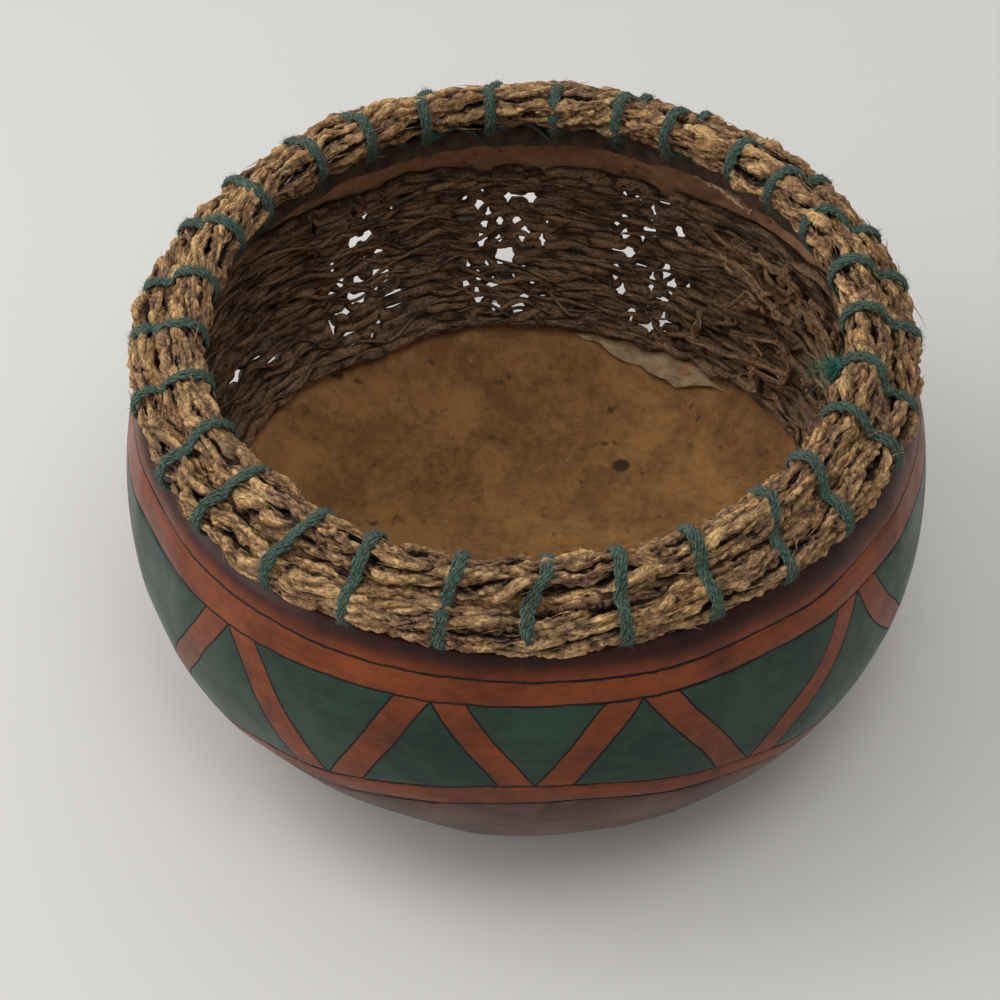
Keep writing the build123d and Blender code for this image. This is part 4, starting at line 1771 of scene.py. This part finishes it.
@dataclass
class Rootlets:
    """Curly rootlets in layers over the right end of the lining."""

    radius: float = 0.0014
    fuller: float = 1.5
    layer_gap: float = 0.0006
    curls: int = 6
    curl_reach: Pair = (4.0, 1.7)
    curl_low: Pair = (-9.0, 1.0)
    curl_high: Pair = (54.0, 16.2)
    curl_depth: Pair = (0.001, 0.005)
    curl_radius: Pair = (0.0011, 0.0019)

    def bends(self) -> dict[int, tuple[int, list[Pair]]]:
        """Bends of the rootlets, as in the solids.

        Returns:
            Layer, then azimuth in degrees and course number of each bend, by the rootlet's number.
        """
        return {
            1: (0, [(50, 15.1), (40, 13.2), (45, 10.5), (33, 8.6), (37, 5.5)]),
            2: (0, [(21, 15.5), (28, 12.8), (18, 10.7), (25, 8.2), (15, 5.5)]),
            3: (1, [(1, 14.2), (14, 13.7), (26, 14.6), (38, 11.6)]),
            4: (2, [(-6, 12.3), (7, 10.2), (20, 9.8), (34, 12.6), (46, 8.6)]),
            5: (1, [(-3, 6.4), (9, 7.4), (22, 5.2), (35, 6.9), (47, 4.8)]),
            6: (0, [(9, 16.0), (4, 13.0), (11, 9.6), (3, 6.0)]),
        }

    def build(self, material: Material) -> None:
        """Builds each rootlet with finer curls that branch from it.

        Args:
            material: bark of the rootlets.
        """
        base = SIZES.lining_gap + 2 * SIZES.lining_radius + self.layer_gap + self.radius
        for number, (layer, bends) in self.bends().items():
            rng = np.random.default_rng(800 + number)
            builder = MeshBuilder()
            inset = base + layer * (2 * self.radius + self.layer_gap) + 0.0008
            line = smooth_line(np.array(bends, dtype=float), 160)
            self.lay(builder, rng, line, inset, self.radius * self.fuller, 10)
            for _ in range(self.curls):
                at = line[rng.integers(10, 150)]
                steps = np.cumsum(rng.normal(0, 1, (6, 2)) * np.array(self.curl_reach), axis=0)
                curl = smooth_line(np.clip(at + steps, self.curl_low, self.curl_high), 80)
                depth = inset + rng.uniform(*self.curl_depth)
                self.lay(builder, rng, curl, depth, rng.uniform(*self.curl_radius), 7)
            piece = builder.build("curl_%d" % number, [material])
            finish_piece(piece, ["rootlet_%d" % number])

    def lay(self, builder: MeshBuilder, rng: np.random.Generator, line: Array, inset: float, radius: float,
            sides: int) -> None:
        """Adds one rootlet along a line.

        Args:
            builder: mesh that takes it.
            rng: source of its unevenness.
            line: azimuth in degrees and course number of each point.
            inset: distance inwards from the inner wall.
            radius: its mean radius.
            sides: points round it.
        """
        place = np.linspace(0.0, 1.0, len(line))
        azimuth = np.radians(line[:, 0] + 0.5 * waves(place, rng, 4, 2, 8))
        depth = inset + 0.0006 * waves(place, rng, 4, 2, 7)
        spot, out = PROFILE.course(line[:, 1], depth)
        mean = radius * (1.1 - 0.5 * place) * (1 + 0.12 * waves(place, rng, 5, 5, 20))
        angle = np.arange(sides) * TURN / sides
        rib = np.sin(3 * angle[None, :] + (9 * place + waves(place, rng, 3, 2, 6))[:, None])
        # Painted shade and highlight: the proud value follows the ribs, so the bark finish darkens their
        # grooves and lightens their crests.
        tube(builder, swing(spot, azimuth), -swing(out, azimuth), mean[:, None] * (1 + 0.08 * rib), 0,
             np.clip(0.5 + 0.35 * rib, 0, 1))


@dataclass
class LooseBits:
    """The pale twig under the rim and the peeled skin on the floor."""

    twig_radius: float = 0.0020
    twig_start: Pair = (60.0, 22.7)
    twig_run: Pair = (-13.5, -2.8)
    twig_sides: int = 12
    skin_grid: tuple[int, int] = (16, 140)
    skin_thick: float = 0.0006
    skin_top: float = math.radians(40.0)
    skin_width: float = math.radians(9.5)
    skin_span: Pair = (math.radians(80.0), math.radians(48.0))

    def twig(self, material: Material) -> None:
        """Builds the twig: a bent, knotted stick that lies on the wall above the lining.

        Args:
            material: its pale wood.
        """
        rng = np.random.default_rng(901)
        builder = MeshBuilder()
        place = np.linspace(0.0, 1.0, 150)
        azimuth = np.radians(self.twig_start[0] + self.twig_run[0] * place)
        number = self.twig_start[1] + self.twig_run[1] * place + 0.15 * waves(place, rng, 4, 1, 4)
        inset = SIZES.lining_gap + self.twig_radius * (2.0 + 0.1 * waves(place, rng, 3, 1, 4))
        spot, out = PROFILE.course(number, inset)
        angle = np.arange(self.twig_sides) * TURN / self.twig_sides
        mean = self.twig_radius * (0.95 + 0.12 * waves(place, rng, 5, 2, 10))
        mean = mean * (0.5 + 0.5 * np.clip(place * 14, 0, 1))
        rib = np.sin(4 * angle[None, :] + (5 * place + waves(place, rng, 3, 2, 6))[:, None])
        # Painted shade and highlight: the proud value follows the ribs, so the finish darkens their grooves
        # and lightens their crests.
        tube(builder, swing(spot, azimuth), -swing(out, azimuth), mean[:, None] * (1 + 0.1 * rib), 0,
             np.clip(0.5 + 0.4 * rib, 0, 1))
        piece = builder.build("pale_twig", [material])
        finish_piece(piece, ["loose_twig"])

    def skin(self, material: Material) -> None:
        """Builds the skin: a long strip that widens from a point; its ragged lower edge stands off.

        Args:
            material: its papery surface.
        """
        rng = np.random.default_rng(902)
        rows, columns = self.skin_grid
        down = np.linspace(1.0, 0.0, rows)[:, None] + np.zeros((1, columns))
        across = np.linspace(0.0, 1.0, columns)[None, :] + np.zeros((rows, 1))
        swell = np.clip(across / 0.55, 0.02, 1.0) ** 0.8 * (1 - 0.5 * np.clip((across - 0.8) / 0.2, 0, 1))
        ragged = 1 + 0.035 * waves(across, rng, 7, 2, 9) * down
        turn = -(self.skin_top + self.skin_width * down * swell * ragged)
        turn = turn + math.radians(0.5) * waves(across, rng, 5, 1, 6)
        azimuth = self.skin_span[0] + (self.skin_span[1] - self.skin_span[0]) * across
        azimuth = azimuth + math.radians(1.2) * waves(down, rng, 5, 0.5, 3) * np.clip(across * 2 - 1, 0, 1)
        lift = 0.0006 + 0.0028 * swell * down**1.6 * (0.75 + 0.25 * waves(across, rng, 5, 1, 6))
        lift = lift + 0.0003 * waves(across * 3 + down, rng, 5, 1, 6) * swell
        arc = PROFILE.corner_arc - SIZES.wall - np.maximum(lift, 0.0004)
        top = swing(on_circle(PROFILE.corner_mid, arc - self.skin_thick, turn), azimuth).reshape(-1, 3)
        under = swing(on_circle(PROFILE.corner_mid, arc, turn), azimuth).reshape(-1, 3)
        count = rows * columns
        quads = grid_quads(rows, columns, False)
        index = np.arange(count).reshape(rows, columns)
        rim = np.concatenate([index[0], index[1:, -1], index[-1, -2::-1], index[-2:0:-1, 0]])
        after = np.roll(rim, -1)
        wall = np.stack([rim, rim + count, after + count, after], axis=-1)
        builder = MeshBuilder()
        builder.add(np.concatenate([top, under]), [quads, quads[:, ::-1] + count, wall[:, ::-1]])
        piece = builder.build("peeled_skin", [material])
        finish_piece(piece, ["inner_skin_flap"])


@dataclass
class Studio:
    """Pale floor, soft light and the camera at the picture's angle."""

    eye: Triple = (-0.0094, -0.5828, 0.7086)
    pitch: float = 0.840
    roll: float = -0.0200
    lens: float = 86.4
    floor_colour: Colour = srgb(200, 198, 194)
    sky: float = 0.76
    sky_lean: Triple = (-0.24, 0.20, 0.0)
    lamps: tuple[tuple[str, Triple, float, float], ...] = (
        ("window_light", (-0.80, 0.15, 1.00), 0.7, 4.5),
        ("left_glow", (-1.70, -0.30, 0.75), 1.2, 7.5),
        ("top_soft", (0.15, -0.35, 1.30), 0.6, 3.5),
    )
    lamp_target: Triple = (0.0, 0.0, 0.08)
    floor_reach: float = 2.5
    floor_drop: float = 0.0002
    floor_points: int = 9

    def put(self, item: Piece, right: Array, up: Array, back: Array, place: Triple) -> None:
        """Puts a camera or lamp into the scene.

        Args:
            item: the camera or lamp.
            right: direction of its own x axis.
            up: direction of its own y axis.
            back: direction of its own z axis.
            place: where it stands.
        """
        rows = np.column_stack([right, up, back, place]).tolist()
        item.matrix_world = Matrix([*rows, (0, 0, 0, 1)])
        bpy.context.scene.collection.objects.link(item)

    def camera(self) -> None:
        """Adds the camera from its eye point, downward pitch and small roll."""
        data = bpy.data.cameras.new("camera")
        data.lens = self.lens
        data.sensor_width = 36.0
        data.clip_end = 20.0
        forward = np.array((0.0, math.cos(self.pitch), -math.sin(self.pitch)))
        up = np.array((0.0, math.sin(self.pitch), math.cos(self.pitch)))
        right = np.array((1.0, 0.0, 0.0))
        cosine, sine = math.cos(self.roll), math.sin(self.roll)
        right, up = cosine * right + sine * up, cosine * up - sine * right
        camera = bpy.data.objects.new("camera", data)
        self.put(camera, right, up, -forward, self.eye)
        bpy.context.scene.camera = camera

    def light(self) -> None:
        """Adds the lamps and a plain pale sky, brighter on the left and dimmer behind the camera."""
        for name, place, size, power in self.lamps:
            data = bpy.data.lights.new(name, "AREA")
            data.shape = "DISK"
            data.size = size
            data.energy = power
            lamp = bpy.data.objects.new(name, data)
            back = unit(np.array(place) - np.array(self.lamp_target))
            right = unit(np.cross((0.0, 0.0, 1.0), back))
            self.put(lamp, right, np.cross(back, right), back, place)
        world = bpy.data.worlds.new("sky")
        world.use_nodes = True
        sky = world.node_tree.nodes["Background"]
        sky.inputs["Color"].default_value = (1.0, 1.0, 1.0, 1.0)
        sheet = NodeSheet(world.node_tree)
        lean = sheet.add("VectorMath", operation="DOT_PRODUCT")
        sheet.feed(lean.inputs[0], sheet.place())
        lean.inputs[1].default_value = self.sky_lean
        sheet.feed(sky.inputs["Strength"], sheet.math("ADD", lean.outputs["Value"], self.sky))
        bpy.context.scene.world = world

    def floor(self) -> None:
        """Adds the floor: a wide flat grid just under the foot."""
        count = self.floor_points
        reach = np.linspace(-self.floor_reach, self.floor_reach, count)
        x, y = np.meshgrid(reach, reach)
        points = np.stack([x, y, 0 * x - self.floor_drop], axis=-1).reshape(-1, 3)
        builder = MeshBuilder()
        builder.add(points, [grid_quads(count, count, False)])
        material, _, shader = new_material("pale_floor")
        shader.inputs["Base Color"].default_value = (*self.floor_colour, 1.0)
        shader.inputs["Roughness"].default_value = 0.7
        floor = builder.build("floor", [material])


def main() -> None:
    """Loads the frame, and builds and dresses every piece."""
    logging.basicConfig(level=logging.INFO, format="%(name)s: %(message)s")
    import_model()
    bpy.context.scene.view_settings.view_transform = "Standard"
    grain = root_grain_group()
    dye = dye_group()
    shell = GourdShell()
    # The cut edge of lip and windows is dark brown: partly the edge's own colour, partly painted shade for
    # the lip under the coils.
    cut_edge = PlainFinish("sawn_edge", srgb(34, 24, 17), srgb(78, 56, 38), 160.0, 0.9, 0.0008)
    shell.build([
        ShellFinish().material(dye, SIZES.zigzags, shell.first_point),
        PithFinish().material(),
        cut_edge.material(),
    ])
    bark = RootFinish(
        "rim_bark", srgb(36, 24, 15), srgb(164, 124, 83), srgb(146, 112, 86), srgb(244, 198, 136), 0.0028
    )
    rim_bark = bark.material(grain)
    between = heading(SIZES.outer_coil, SIZES.inner_coil)
    below = heading(SIZES.outer_coil, PROFILE.dome_mid)
    inner_rim = RimCoil("inner", SIZES.inner_coil, 1000)
    outer_rim = RimCoil("outer", SIZES.outer_coil, 2000, fillers=(between, below))
    for coil in (inner_rim, outer_rim):
        coil.build(rim_bark)
    fresh = YarnFinish("fresh_yarn", srgb(6, 58, 48), srgb(42, 156, 126))
    StitchYarn().build([YarnFinish().material(), fresh.material()])
    dark = RootFinish(
        "lining_bark", srgb(62, 48, 36), srgb(130, 102, 77), srgb(119, 95, 74), srgb(152, 121, 92), 0.0008
    )
    RootLining().build(dark.material(grain))
    curl = RootFinish(
        "curl_bark", srgb(54, 41, 30), srgb(134, 104, 76), srgb(118, 93, 71), srgb(184, 148, 108), 0.0008
    )
    Rootlets().build(curl.material(grain))
    pale = RootFinish(
        "pale_wood", srgb(124, 94, 66), srgb(196, 164, 124), srgb(176, 136, 98), srgb(230, 206, 170), 0.0008
    )
    bits = LooseBits()
    bits.twig(pale.material(grain))
    papery = PlainFinish("papery_skin", srgb(140, 114, 82), srgb(186, 158, 120), 120.0, 0.75, 0.0006)
    bits.skin(papery.material())
    studio = Studio()
    studio.floor()
    studio.light()
    studio.camera()


if __name__ == "__main__":
    main()
